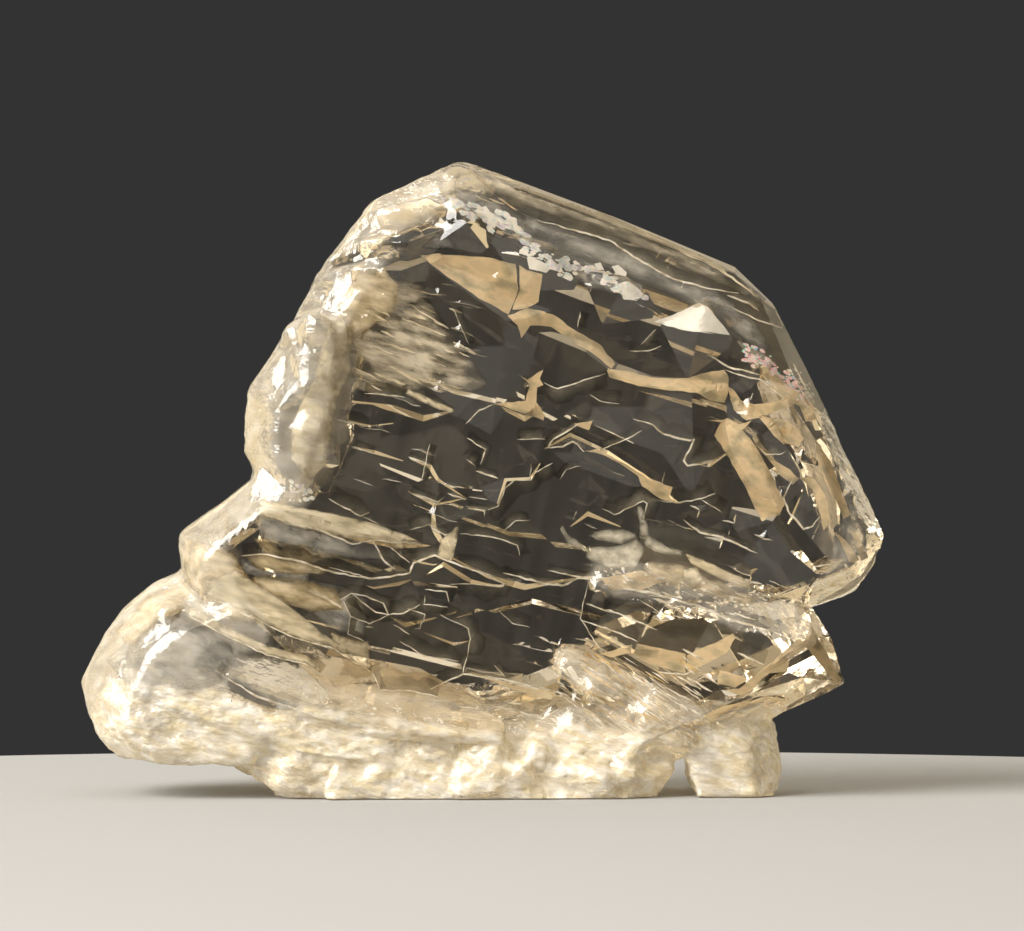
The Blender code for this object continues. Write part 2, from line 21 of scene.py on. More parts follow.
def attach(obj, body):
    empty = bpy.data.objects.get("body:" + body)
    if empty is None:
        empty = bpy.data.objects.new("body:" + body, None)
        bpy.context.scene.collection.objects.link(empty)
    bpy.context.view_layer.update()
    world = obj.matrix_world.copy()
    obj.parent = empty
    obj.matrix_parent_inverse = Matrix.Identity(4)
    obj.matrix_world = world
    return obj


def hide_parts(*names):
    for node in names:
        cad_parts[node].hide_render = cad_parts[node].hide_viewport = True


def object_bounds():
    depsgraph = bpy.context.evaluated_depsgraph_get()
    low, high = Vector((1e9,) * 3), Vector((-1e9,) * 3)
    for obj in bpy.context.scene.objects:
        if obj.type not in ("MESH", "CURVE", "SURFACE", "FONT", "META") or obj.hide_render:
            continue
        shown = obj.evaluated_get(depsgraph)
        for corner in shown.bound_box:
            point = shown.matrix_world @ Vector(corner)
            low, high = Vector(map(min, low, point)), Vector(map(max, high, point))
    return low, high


MM = 0.001
CRYSTAL_NODE = "quartz_crystal"
SEED = 11
STEP_SEED = 23

# The main axis leans to the right, so growth lines run down to the right by the same angle
GROWTH_LINE = math.radians(-16.0)

# The render: its size in pixels, the millimetres to a pixel on the broad face, the pixel of the origin,
# and how far the broad face lies in front of the origin, in mm
IMAGE_WIDTH = 1024
IMAGE_HEIGHT = 931
MM_PER_PIXEL = 0.0798
ORIGIN_PIXEL = (482.0, 794.0)
BROAD_FACE = 4.0
CAMERA_LENS = 180.0
CAMERA_SENSOR = 36.0

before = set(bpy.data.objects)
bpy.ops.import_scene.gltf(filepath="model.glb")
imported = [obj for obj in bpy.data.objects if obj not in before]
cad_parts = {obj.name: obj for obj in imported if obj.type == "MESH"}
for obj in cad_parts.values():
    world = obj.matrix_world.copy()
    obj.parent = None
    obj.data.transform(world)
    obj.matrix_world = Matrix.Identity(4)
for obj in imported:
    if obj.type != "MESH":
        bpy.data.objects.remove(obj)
cad_low, cad_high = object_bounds()


def linear(value):
    """One channel of an sRGB colour, 0 to 1, as a linear value."""
    return value / 12.92 if value <= 0.04045 else ((value + 0.055) / 1.055) ** 2.4


def colour(code):
    """A hex sRGB colour as linear red, green, blue and alpha."""
    parts = [int(code[start:start + 2], 16) / 255.0 for start in (1, 3, 5)]
    return tuple(linear(part) for part in parts) + (1.0,)


def add_node(tree, kind, settings=None, links=None):
    """Adds a node, sets its properties and sockets, and links other nodes' sockets to it."""
    node = tree.nodes.new(kind)
    for name, value in (settings or {}).items():
        if isinstance(name, str) and hasattr(node, name):
            setattr(node, name, value)
        else:
            node.inputs[name].default_value = value
    for name, source in (links or {}).items():
        tree.links.new(source, node.inputs[name])
    return node


def new_material(name):
    """A new material with an empty node tree."""
    material = bpy.data.materials.new(name)
    material.use_nodes = True
    material.node_tree.nodes.clear()
    return material, material.node_tree


def new_piece(name, bm):
    """Puts a finished bmesh in the scene as an object at the origin."""
    mesh = bpy.data.meshes.new(name)
    bm.to_mesh(mesh)
    bm.free()
    piece = bpy.data.objects.new(name, mesh)
    bpy.context.scene.collection.objects.link(piece)
    return piece


# ---------------------------------------------------------------------------------------------------------
# Growth steps

# How deep a step's foot is sunk into the face under it, in mm, and how far its steep and its gentle side
# reach, as multiples of its rise
STEP_SUNK = 0.15
STEP_RISER = 0.9
STEP_TAIL = 9.0


# How far off the origin, in mm, the rays towards the front and the back start
RAY_START = 30.0


def surface_finder(bm):
    """A function that gives the y, in mm, of the crystal's front or back over a point (x, z) in mm."""
    tree = BVHTree.FromBMesh(bm)

    def find(x, z, facing):
        start = Vector((x, facing * RAY_START, z)) * MM
        hit = tree.ray_cast(start, Vector((0.0, -facing, 0.0)))[0]
        return None if hit is None else hit.y / MM

    return find


def jagged(crest, chance, pitch=0.7, stray=0.1):
    """A crest line with a point about every `pitch` mm, each a little off its line."""
    points = []
    for start, end in zip(crest, crest[1:]):
        start, end = Vector(start), Vector(end)
        count = max(1, round((end - start).length / pitch))
        side = (end - start).normalized().orthogonal()
        for index in range(count):
            off = chance.uniform(-stray, stray) if index else 0.0
            points.append(start.lerp(end, index / count) + side * off)
    return points + [Vector(crest[-1])]


def growth_step(crest, rise, facing, find, chance):
    """A sharp crest that stands `rise` off the face, steep on the right of its run, gentle on the left."""
    rings = []
    last = len(crest) - 1
    for index, here in enumerate(crest):
        run = (crest[min(index + 1, last)] - crest[max(index - 1, 0)]).normalized()
        across = Vector((run.y, -run.x))
        high = rise * chance.uniform(0.6, 1.2) * (0.2 if index in (0, last) else 1.0)
        ring = []
        for reach, lift in ((0.0, high), (STEP_RISER * high, -STEP_SUNK), (-STEP_TAIL * high, -STEP_SUNK)):
            spot = here + across * reach
            y = find(spot.x, spot.y, facing)
            if y is None:
                return None
            ring.append(Vector((spot.x, y + facing * lift, spot.y)) * MM)
        rings.append(ring)
    bm = bmesh.new()
    face = bm.faces.new([bm.verts.new(corner) for corner in rings[0]])
    for index, ring in enumerate(rings[1:]):
        made = bmesh.ops.extrude_face_region(bm, geom=[face])["geom"]
        if index:
            bmesh.ops.delete(bm, geom=[face], context="FACES_ONLY")
        face = next(item for item in made if isinstance(item, bmesh.types.BMFace))
        for vert, corner in zip(face.verts, ring):
            vert.co = corner
    bmesh.ops.triangulate(bm, faces=bm.faces[:])
    bmesh.ops.recalc_face_normals(bm, faces=bm.faces[:])
    return new_piece("growth_step", bm)


# The share of the crests that set out along the growth lines, and how far a leg strays, in radians
ALONG_FIRST = 0.75
LEG_STRAY = 0.15


def wandering_crest(start, legs, chance, long_leg, short_leg):
    """A crest that runs along the growth lines and turns across them at random."""
    crest = [Vector(start)]
    along = chance.random() < ALONG_FIRST
    for _ in range(legs):
        angle = GROWTH_LINE if along else GROWTH_LINE + math.radians(90.0 * chance.choice((-1.0, 1.0)))
        angle += chance.uniform(-LEG_STRAY, LEG_STRAY)
        length = chance.uniform(*(long_leg if along else short_leg))
        crest.append(crest[-1] + Vector((math.cos(angle), math.sin(angle))) * length)
        along = not along
    return crest


# Fields of fine steps: the (x, z) box they start in, how many, how many legs each has, the range of a leg
# along and across the growth lines, and the range of their rise
STEP_FIELDS = (
    ((-9.0, 20.0, 14.0, 31.0), 12, (1, 1), (0.6, 2.2), (0.4, 1.0), (0.06, 0.12)),
    ((-11.5, -3.0, 21.5, 33.0), 10, (1, 1), (0.8, 2.6), (0.3, 0.8), (0.06, 0.12)),
    ((-6.0, 8.0, 6.5, 16.0), 7, (1, 2), (0.8, 2.4), (0.5, 1.5), (0.06, 0.12)),
    ((-10.8, -0.5, 32.0, 41.0), 24, (1, 1), (1.2, 4.0), (0.3, 0.8), (0.06, 0.14)),
    ((16.0, 26.0, 18.0, 32.0), 12, (1, 2), (0.6, 2.0), (0.4, 1.4), (0.12, 0.22)),
    ((8.0, 26.0, 13.0, 18.0), 10, (1, 1), (0.6, 2.4), (0.3, 1.0), (0.14, 0.26)),
    ((-2.0, 20.0, 39.0, 47.0), 14, (1, 1), (1.0, 4.0), (0.4, 1.2), (0.10, 0.20)),
)
BACK_FIELDS = (
    ((-14.0, 24.0, 8.0, 42.0), 14, (1, 1), (1.0, 4.0), (0.5, 1.6), (0.05, 0.12)),
)


def fine_steps(find, chance):
    """The fine growth steps on the front and the back, one piece each."""
    made = []
    for facing, fields in ((-1.0, STEP_FIELDS), (1.0, BACK_FIELDS)):
        for box, count, legs, long_leg, short_leg, rises in fields:
            for _ in range(count):
                start = (chance.uniform(box[0], box[1]), chance.uniform(box[2], box[3]))
                crest = wandering_crest(start, chance.randint(*legs), chance, long_leg, short_leg)
                rise = chance.uniform(*rises)
                step = growth_step(jagged(crest, chance), rise, facing, find, chance)
                if step is not None:
                    made.append(step)
    return made


def unite(body, pieces):
    """One exact union of the body with all the pieces, as a new mesh."""
    group = bpy.data.collections.new("steps")
    for piece in pieces:
        bpy.context.scene.collection.objects.unlink(piece)
        group.objects.link(piece)
    bpy.context.scene.collection.children.link(group)
    union = body.modifiers.new("steps", "BOOLEAN")
    union.operation = "UNION"
    union.solver = "EXACT"
    union.operand_type = "COLLECTION"
    union.collection = group
    ready = body.evaluated_get(bpy.context.evaluated_depsgraph_get())
    mesh = bpy.data.meshes.new_from_object(ready)
    body.modifiers.clear()
    for piece in pieces:
        bpy.data.objects.remove(piece, do_unlink=True)
    bpy.data.collections.remove(group)
    return mesh


# ---------------------------------------------------------------------------------------------------------
# Rough and frosted parts

# Each is how frosted and how rough it is, from 0 to 1, then a broken line of (x, z, radius) in mm
ROUGH_PARTS = (
    # the crust along the foot, and the thinner frost above it
    (1.0, 1.0, (-27.6, 5.8, 2.9), (-20.0, 4.9, 3.0), (-10.0, 2.8, 3.1), (2.0, 1.8, 2.8), (13.0, 2.0, 3.0)),
    (
        0.32, 0.45, (-26.6, 9.6, 2.5), (-20.0, 9.0, 2.2), (-12.0, 6.8, 1.8), (-2.0, 5.6, 1.6),
        (8.0, 5.0, 1.6),
    ),
    # the left lump
    (0.48, 0.2, (-29.6, 7.4, 2.6), (-29.6, 10.6, 1.8), (-27.6, 14.2, 1.8), (-23.8, 17.0, 1.4)),
    (0.4, 0.2, (-25.0, 9.6, 2.0), (-21.0, 11.6, 1.6)),
    # the column, and the cap up to the tip
    (0.42, 0.4, (-16.4, 25.6, 2.6), (-15.6, 31.0, 3.8), (-13.0, 37.6, 2.6)),
    (0.4, 0.5, (-12.0, 41.0, 2.2), (-8.6, 45.6, 2.4), (-4.4, 48.2, 1.6)),
    (0.05, 0.5, (-4.4, 47.4, 1.6), (-1.4, 48.6, 2.2), (1.0, 48.6, 1.2)),
    # the upper edge and the left end of the side blade
    (0.42, 0.2, (-23.2, 17.6, 1.6), (-22.6, 21.0, 1.6), (-18.6, 24.0, 1.6)),
    (0.42, 0.1, (-21.6, 18.4, 1.6), (-21.2, 15.6, 1.8), (-18.4, 13.2, 1.4)),
    # the crumpled seam, the splinters and the rough foot
    (0.28, 0.9, (9.4, 17.4, 0.8), (14.0, 17.0, 1.3), (20.0, 15.2, 1.3), (26.0, 13.6, 1.0)),
    (0.45, 0.6, (7.0, 10.6, 0.9), (11.0, 8.0, 1.6), (16.0, 4.6, 2.4)),
    (1.0, 0.7, (18.6, 2.0, 2.8), (21.4, 3.4, 3.4)),
    # the edge down the right side
    (0.35, 0.5, (27.6, 30.0, 0.6), (30.0, 24.0, 1.0), (29.8, 18.0, 1.6), (27.4, 15.8, 1.2)),
)
# Clear spots in the milky parts: each the share of the frost it takes, then a broken line
CLEAR_SPOTS = (
    (0.4, (-27.3, 11.1, 0.8), (-24.5, 13.9, 0.9)),
    (0.7, (-21.2, 10.5, 1.1), (-20.4, 11.4, 0.8)),
    (0.8, (-19.5, 8.8, 0.4), (-16.6, 7.2, 0.4)),
    (0.6, (-19.8, 21.6, 0.5), (-18.8, 19.6, 0.8)),
    (0.9, (-11.6, 42.4, 0.35), (-8.3, 43.2, 0.45), (-4.5, 45.0, 0.45)),
)
# More than any distance on the crystal, in mm or in radii of a rough part
FAR = 99.0
# How softly a rough part ends, as a share of its radius
EDGE_SOFTNESS = 0.45
# The size in mm and the amount of the waves in a rough part's edge
WAVES = ((2.4, 0.25), (0.9, 0.12))
# Under this much roughness the surface keeps its sharp edges, and under the second its large faces
SHARP_UNDER = 0.05
WHOLE_UNDER = 0.02


def distance_share(spot, line):
    """How far a spot is from a thick broken line, as a share of its radius there: under 1 is inside."""
    nearest = FAR
    for start, end in zip(line, line[1:]):
        a, b = Vector(start[:2]), Vector(end[:2])
        run = b - a
        share = min(1.0, max(0.0, (spot - a).dot(run) / run.length_squared))
        radius = start[2] + (end[2] - start[2]) * share
        nearest = min(nearest, (spot - a - run * share).length / radius)
    return nearest


def soft_inside(near):
    """1 inside a thick line, 0 well outside it, and a soft fall between, from the share of its radius."""
    inside = min(1.0, max(0.0, (1.0 + EDGE_SOFTNESS - near) / EDGE_SOFTNESS))
    return inside * inside * (3.0 - 2.0 * inside)


def rough_at(place):
    """The frosted and the rough share, each 0 to 1, at a point in metres."""
    spot = Vector((place.x, place.z)) / MM
    wobble = sum(noise.noise(place / (size * MM)) * amount for size, amount in WAVES)
    frosted = rough = 0.0
    for frost_share, rough_share, *line in ROUGH_PARTS:
        inside = soft_inside(distance_share(spot, line) + wobble)
        frosted = max(frosted, inside * frost_share)
        rough = max(rough, inside * rough_share)
    for taken, *line in CLEAR_SPOTS:
        frosted *= 1.0 - taken * soft_inside(distance_share(spot, line) + wobble)
    return frosted, rough


# The size of the facets on the rough parts, in front and on the back
FACET_MM = 0.36
BACK_FACET_MM = 0.62
# An edge is split from this many facets' length, in this many rounds at most
SPLIT_FROM = 1.4
SPLITTING = 9
# How far apart, in mm, a long edge is tried for roughness, and at how many places at most
TRIAL_MM = 1.5
TRIALS = 9


def refine(bm):
    """Splits the long edges of the rough parts until their faces are about a facet in size."""
    known = {}

    def rough_near(point):
        key = (round(point.x / MM * 2.0), round(point.z / MM * 2.0))
        if key not in known:
            known[key] = rough_at(point)[1] > WHOLE_UNDER
        return known[key]

    for _ in range(SPLITTING):
        long_edges = []
        for edge in bm.edges:
            length = edge.calc_length()
            a, b = edge.verts[0].co, edge.verts[1].co
            facet = FACET_MM if a.y < 0.0 else BACK_FACET_MM
            if length < facet * MM * SPLIT_FROM:
                continue
            count = max(2, min(TRIALS, int(length / (TRIAL_MM * MM)) + 2))
            if any(rough_near(a.lerp(b, index / (count - 1))) for index in range(count)):
                long_edges.append(edge)
        if not long_edges:
            break
        bmesh.ops.subdivide_edges(bm, edges=long_edges, cuts=1)
        bmesh.ops.triangulate(bm, faces=[face for face in bm.faces if len(face.verts) > 3])


# How many times the points of the rough parts are drawn towards their neighbours
ROUNDING = 10
# How high over the base, in mm, the rounding starts, and up to where a point is on the base itself
ROUND_FROM = 0.2
ON_BASE = 0.02


def round_off(bm):
    """Rounds the hard edges of the rough parts, and leaves the flat base."""
    soft = [vert for vert in bm.verts if vert.co.z > ROUND_FROM * MM and rough_at(vert.co)[1] > SHARP_UNDER]
    for _ in range(ROUNDING):
        bmesh.ops.smooth_vert(bm, verts=soft, factor=0.5, use_axis_x=True, use_axis_y=True, use_axis_z=True)


# The size and the height in mm of the lumps, the grains and the grit, and how far lumps are drawn out
LUMP = (1.5, 0.30)
GRAIN = (0.7, 0.22)
GRIT = (0.5, 0.15)
DRAWN_OUT = 0.45
RELIEF = 0.8


def roughen(bm):
    """Moves the points of the rough parts in and out in lumps, grains and grit."""
    bm.normal_update()
    moves = []
    for vert in bm.verts:
        rough = rough_at(vert.co)[1]
        if rough <= 0.0:
            continue
        p = vert.co / MM
        flow = Vector((p.x * DRAWN_OUT, p.y, p.z))
        lumps = noise.noise(flow / LUMP[0]) * LUMP[1]
        grains = (0.5 - noise.voronoi(flow / GRAIN[0])[0][0]) * GRAIN[1]
        grit = noise.noise(p / GRIT[0]) * GRIT[1]
        moves.append((vert, vert.normal * (lumps + grains + grit) * rough * RELIEF * MM))
    for vert, move in moves:
        on_base = vert.co.z < ON_BASE * MM
        vert.co += move
        if on_base:
            vert.co.z = 0.0
        for axis in range(3):
            vert.co[axis] = min(cad_high[axis], max(cad_low[axis], vert.co[axis]))


def write_frost(mesh):
    """Writes how frosted each point is, for the material, and shades the rounded parts smooth."""
    shares = [rough_at(vert.co) for vert in mesh.vertices]
    layer = mesh.attributes.new("frost", "FLOAT", "POINT")
    layer.data.foreach_set("value", [frosted for frosted, _ in shares])
    for polygon in mesh.polygons:
        polygon.use_smooth = min(shares[index][1] for index in polygon.vertices) > SHARP_UNDER


# ---------------------------------------------------------------------------------------------------------
# Growth faces, healed cracks and veils that shine inside the clear crystal, and the highlights, reflections
# and sheen painted on films and flakes in it, as (x, z) in mm

# Tan faces: inner growth faces, with the warm light they throw back painted on them as a tan colour
TAN_PAINTED_REFLECTION_FACES = {
    "top facet, left part": (
        (-4.9, 42.9), (-2.3, 42.9), (0.5, 42.7), (2.7, 42.2), (2.9, 40.2), (2.1, 38.1), (-0.3, 39.4),
        (-2.9, 41.2),
    ),
    "top facet, right part": (
        (3.0, 42.1), (3.6, 41.7), (4.8, 41.4), (4.5, 39.2), (3.5, 38.6), (2.4, 38.5), (3.0, 40.1),
    ),
    "ribbon below the facet": (
        (2.0, 38.0), (3.6, 38.6), (5.6, 38.2), (7.6, 36.8), (9.5, 35.7), (10.5, 34.2), (10.2, 33.8),
        (9.0, 34.8), (7.1, 36.0), (5.5, 37.2), (3.8, 37.3), (3.1, 36.3), (2.8, 37.3),
    ),
    "level ribbon": (
        (9.9, 33.8), (11.5, 33.6), (13.4, 33.1), (15.6, 33.0), (16.8, 33.3), (17.9, 33.6), (19.2, 33.8),
        (19.6, 33.1), (19.6, 32.2), (19.2, 31.2), (18.0, 31.4), (16.9, 32.0), (14.5, 32.2), (12.4, 32.5),
        (10.1, 33.2),
    ),
    "star": (
        (2.7, 33.6), (3.6, 33.0), (4.9, 33.8), (4.6, 33.1), (4.9, 32.6), (4.4, 32.4), (4.3, 31.2),
        (5.0, 30.2), (4.9, 29.8), (2.8, 30.5), (1.0, 31.1), (3.4, 31.3), (3.8, 32.6),
    ),
    "long bar": (
        (8.1, 27.4), (9.4, 27.5), (11.1, 26.6), (12.8, 25.6), (13.5, 25.1), (15.1, 24.5), (14.9, 23.9),
        (15.4, 23.2), (14.1, 23.6), (12.7, 24.6), (12.4, 25.4), (11.1, 26.3), (9.5, 27.1),
    ),
    "small triangle": ((7.3, 29.5), (8.8, 29.8), (8.5, 29.0)),
    "lens lower side": (
        (19.5, 32.5), (19.9, 32.3), (20.7, 31.1), (22.0, 31.1), (24.4, 31.5), (25.0, 31.4), (24.4, 30.9),
        (22.0, 30.0), (21.0, 29.8), (20.0, 30.6),
    ),
    "right parallelogram": (
        (18.4, 28.6), (18.9, 29.6), (20.2, 29.4), (21.3, 28.2), (22.6, 26.0), (24.0, 23.3), (23.6, 22.3),
        (22.2, 21.8), (20.8, 24.7), (19.4, 27.1),
    ),
    "tie": ((17.9, 29.8), (19.5, 29.9), (20.4, 29.4), (21.4, 29.8), (20.7, 29.0), (19.5, 29.5)),
    "right band, upper": (
        (22.2, 33.4), (23.0, 33.8), (24.3, 32.4), (26.2, 31.2), (26.3, 29.8), (25.5, 29.6), (25.1, 30.8),
        (23.5, 31.8),
    ),
    "right band, middle": (
        (22.0, 30.0), (23.2, 30.0), (24.4, 29.6), (25.5, 28.4), (25.1, 27.7), (23.9, 27.9), (23.1, 28.6),
    ),
    "right band, lower": (
        (25.1, 25.3), (26.3, 25.2), (27.1, 24.1), (27.7, 21.8), (27.1, 21.1), (26.7, 22.7), (26.2, 24.3),
    ),
    "corner strip": ((27.9, 21.0), (28.9, 20.2), (29.9, 18.8), (29.1, 18.6), (28.5, 19.8)),
    "second corner strip": ((29.2, 21.2), (29.8, 20.7), (30.6, 19.0), (30.0, 18.7)),
    "low facet": ((9.3, 11.3), (11.9, 12.0), (11.9, 11.4), (10.3, 11.0)),
    "bent strip, left arm": (
        (12.3, 12.1), (15.7, 11.4), (16.1, 11.3), (16.1, 9.8), (14.7, 10.1), (13.2, 10.5), (12.0, 11.3),
    ),
    "bent strip, right arm": (
        (16.2, 11.2), (18.4, 12.1), (19.9, 12.9), (20.1, 12.6), (19.4, 11.4), (17.9, 10.6), (16.3, 9.9),
    ),
    "long corner bar": (
        (25.1, 12.5), (25.6, 12.1), (23.0, 10.1), (20.6, 8.0), (20.0, 8.2), (19.0, 8.5), (20.3, 8.6),
    ),
    "corner plate": ((18.8, 10.0), (20.4, 9.6), (21.1, 9.3), (20.0, 8.7), (18.6, 9.0)),
    "corner edge": ((25.4, 12.1), (26.0, 13.4), (27.3, 11.3), (28.6, 8.9), (27.8, 9.1)),
    "corner foot": ((28.6, 8.8), (24.0, 6.7), (24.3, 7.3), (27.5, 9.0)),
    "chips by the seam": ((9.4, 17.2), (12.6, 17.9), (14.6, 17.1), (12.6, 16.3), (10.2, 16.4)),
    "right cell wall": ((22.3, 27.1), (23.4, 26.5), (24.4, 25.9), (25.1, 25.2), (24.6, 24.7), (23.6, 25.5)),
    "right shelf": (
        (26.3, 28.2), (27.5, 26.5), (28.4, 24.3), (29.2, 22.3), (28.6, 22.0), (27.6, 24.1), (26.6, 26.3),
    ),
    "pink bar": ((3.0, 6.4), (3.8, 6.1), (7.0, 4.0), (6.5, 3.9), (4.6, 4.9), (2.9, 6.0)),
}
CREAM_FACES = {
    "inner side of the column": (
        (-12.0, 37.4), (-10.8, 37.9), (-10.4, 33.8), (-11.6, 31.4), (-12.2, 27.6), (-12.4, 26.2),
        (-13.6, 25.0), (-15.1, 26.7), (-15.0, 29.0), (-14.4, 31.0), (-13.2, 33.1), (-12.7, 35.5),
    ),
    "seam plate": ((15.9, 18.0), (17.2, 18.2), (17.6, 17.1), (16.8, 16.6), (15.8, 17.1)),
    "upper rib": (
        (-17.6, 23.5), (-12.1, 22.5), (-9.0, 21.8), (-6.1, 20.8), (-4.6, 20.0), (-6.2, 20.2), (-6.1, 19.5),
        (-7.4, 20.0), (-9.2, 20.5), (-10.8, 20.4), (-14.5, 21.3), (-17.6, 22.3),
    ),
    "rib branch": (
        (-13.8, 16.7), (-12.3, 16.0), (-10.9, 15.1), (-11.0, 14.7), (-12.4, 15.5), (-13.9, 16.2),
    ),
    "rib tip": (
        (-12.1, 13.2), (-11.2, 12.8), (-10.1, 12.4), (-9.0, 12.3), (-8.6, 9.9), (-10.0, 10.8),
        (-11.6, 11.8),
    ),
    "third rib": (
        (-19.4, 18.1), (-15.2, 15.2), (-12.9, 13.3), (-8.8, 10.3), (-8.8, 10.0), (-12.0, 11.9),
        (-15.2, 12.8), (-18.0, 14.2), (-21.8, 16.0), (-21.4, 17.2),
    ),
    "fourth rib": (
        (-23.1, 15.0), (-20.0, 13.6), (-16.8, 12.0), (-13.8, 11.3), (-12.6, 10.2), (-12.8, 9.8),
        (-13.9, 10.6), (-16.9, 11.3), (-20.0, 12.8), (-23.1, 14.3),
    ),
    "standing facet": ((-3.2, 20.4), (-1.7, 21.8), (-1.9, 20.4), (-2.3, 18.5), (-3.7, 18.8)),
    "slanting bar": ((-5.8, 32.3), (-2.2, 30.7), (-2.3, 30.4), (-3.4, 30.6), (-6.1, 31.9)),
    "strip above the seam": (
        (15.9, 19.4), (17.9, 18.6), (20.0, 17.6), (21.5, 17.0), (21.2, 16.4), (18.8, 17.2), (16.5, 18.4),
    ),
}
# Faces painted almost white: painted highlights, where inner faces throw back the light
PAINTED_HIGHLIGHT_FACES = {
    "white triangle": ((13.7, 37.6), (17.3, 39.0), (17.9, 38.7), (19.6, 36.5), (16.3, 36.9)),
    "small pearl": ((-3.6, 45.2), (-3.3, 45.9), (-2.3, 45.1), (-2.8, 44.8)),
    "blob 1": ((-0.6, 46.4), (0.3, 46.8), (1.3, 45.6), (1.0, 45.0), (0.0, 45.6)),
    "blob 2": ((1.4, 45.6), (2.1, 45.7), (2.7, 45.2), (2.4, 44.9)),
    "blob 3": ((3.6, 42.8), (4.5, 42.5), (5.6, 42.0), (5.1, 41.5), (3.8, 41.8)),
    "blob 4": ((10.3, 42.0), (10.8, 42.1), (11.5, 41.5), (11.4, 41.1), (10.7, 41.3)),
    "blob 5": ((10.8, 40.5), (11.6, 40.8), (12.8, 39.7), (12.3, 39.3), (11.2, 39.4)),
    "blob 6": ((8.9, 42.2), (9.4, 42.3), (9.7, 41.7), (9.2, 41.7)),
    "spot on the splinters": ((6.7, 10.2), (7.0, 10.4), (7.7, 9.4), (7.3, 9.3)),
    "corner spot": ((18.9, 8.5), (20.3, 8.3), (20.0, 8.0), (19.2, 8.1)),
}
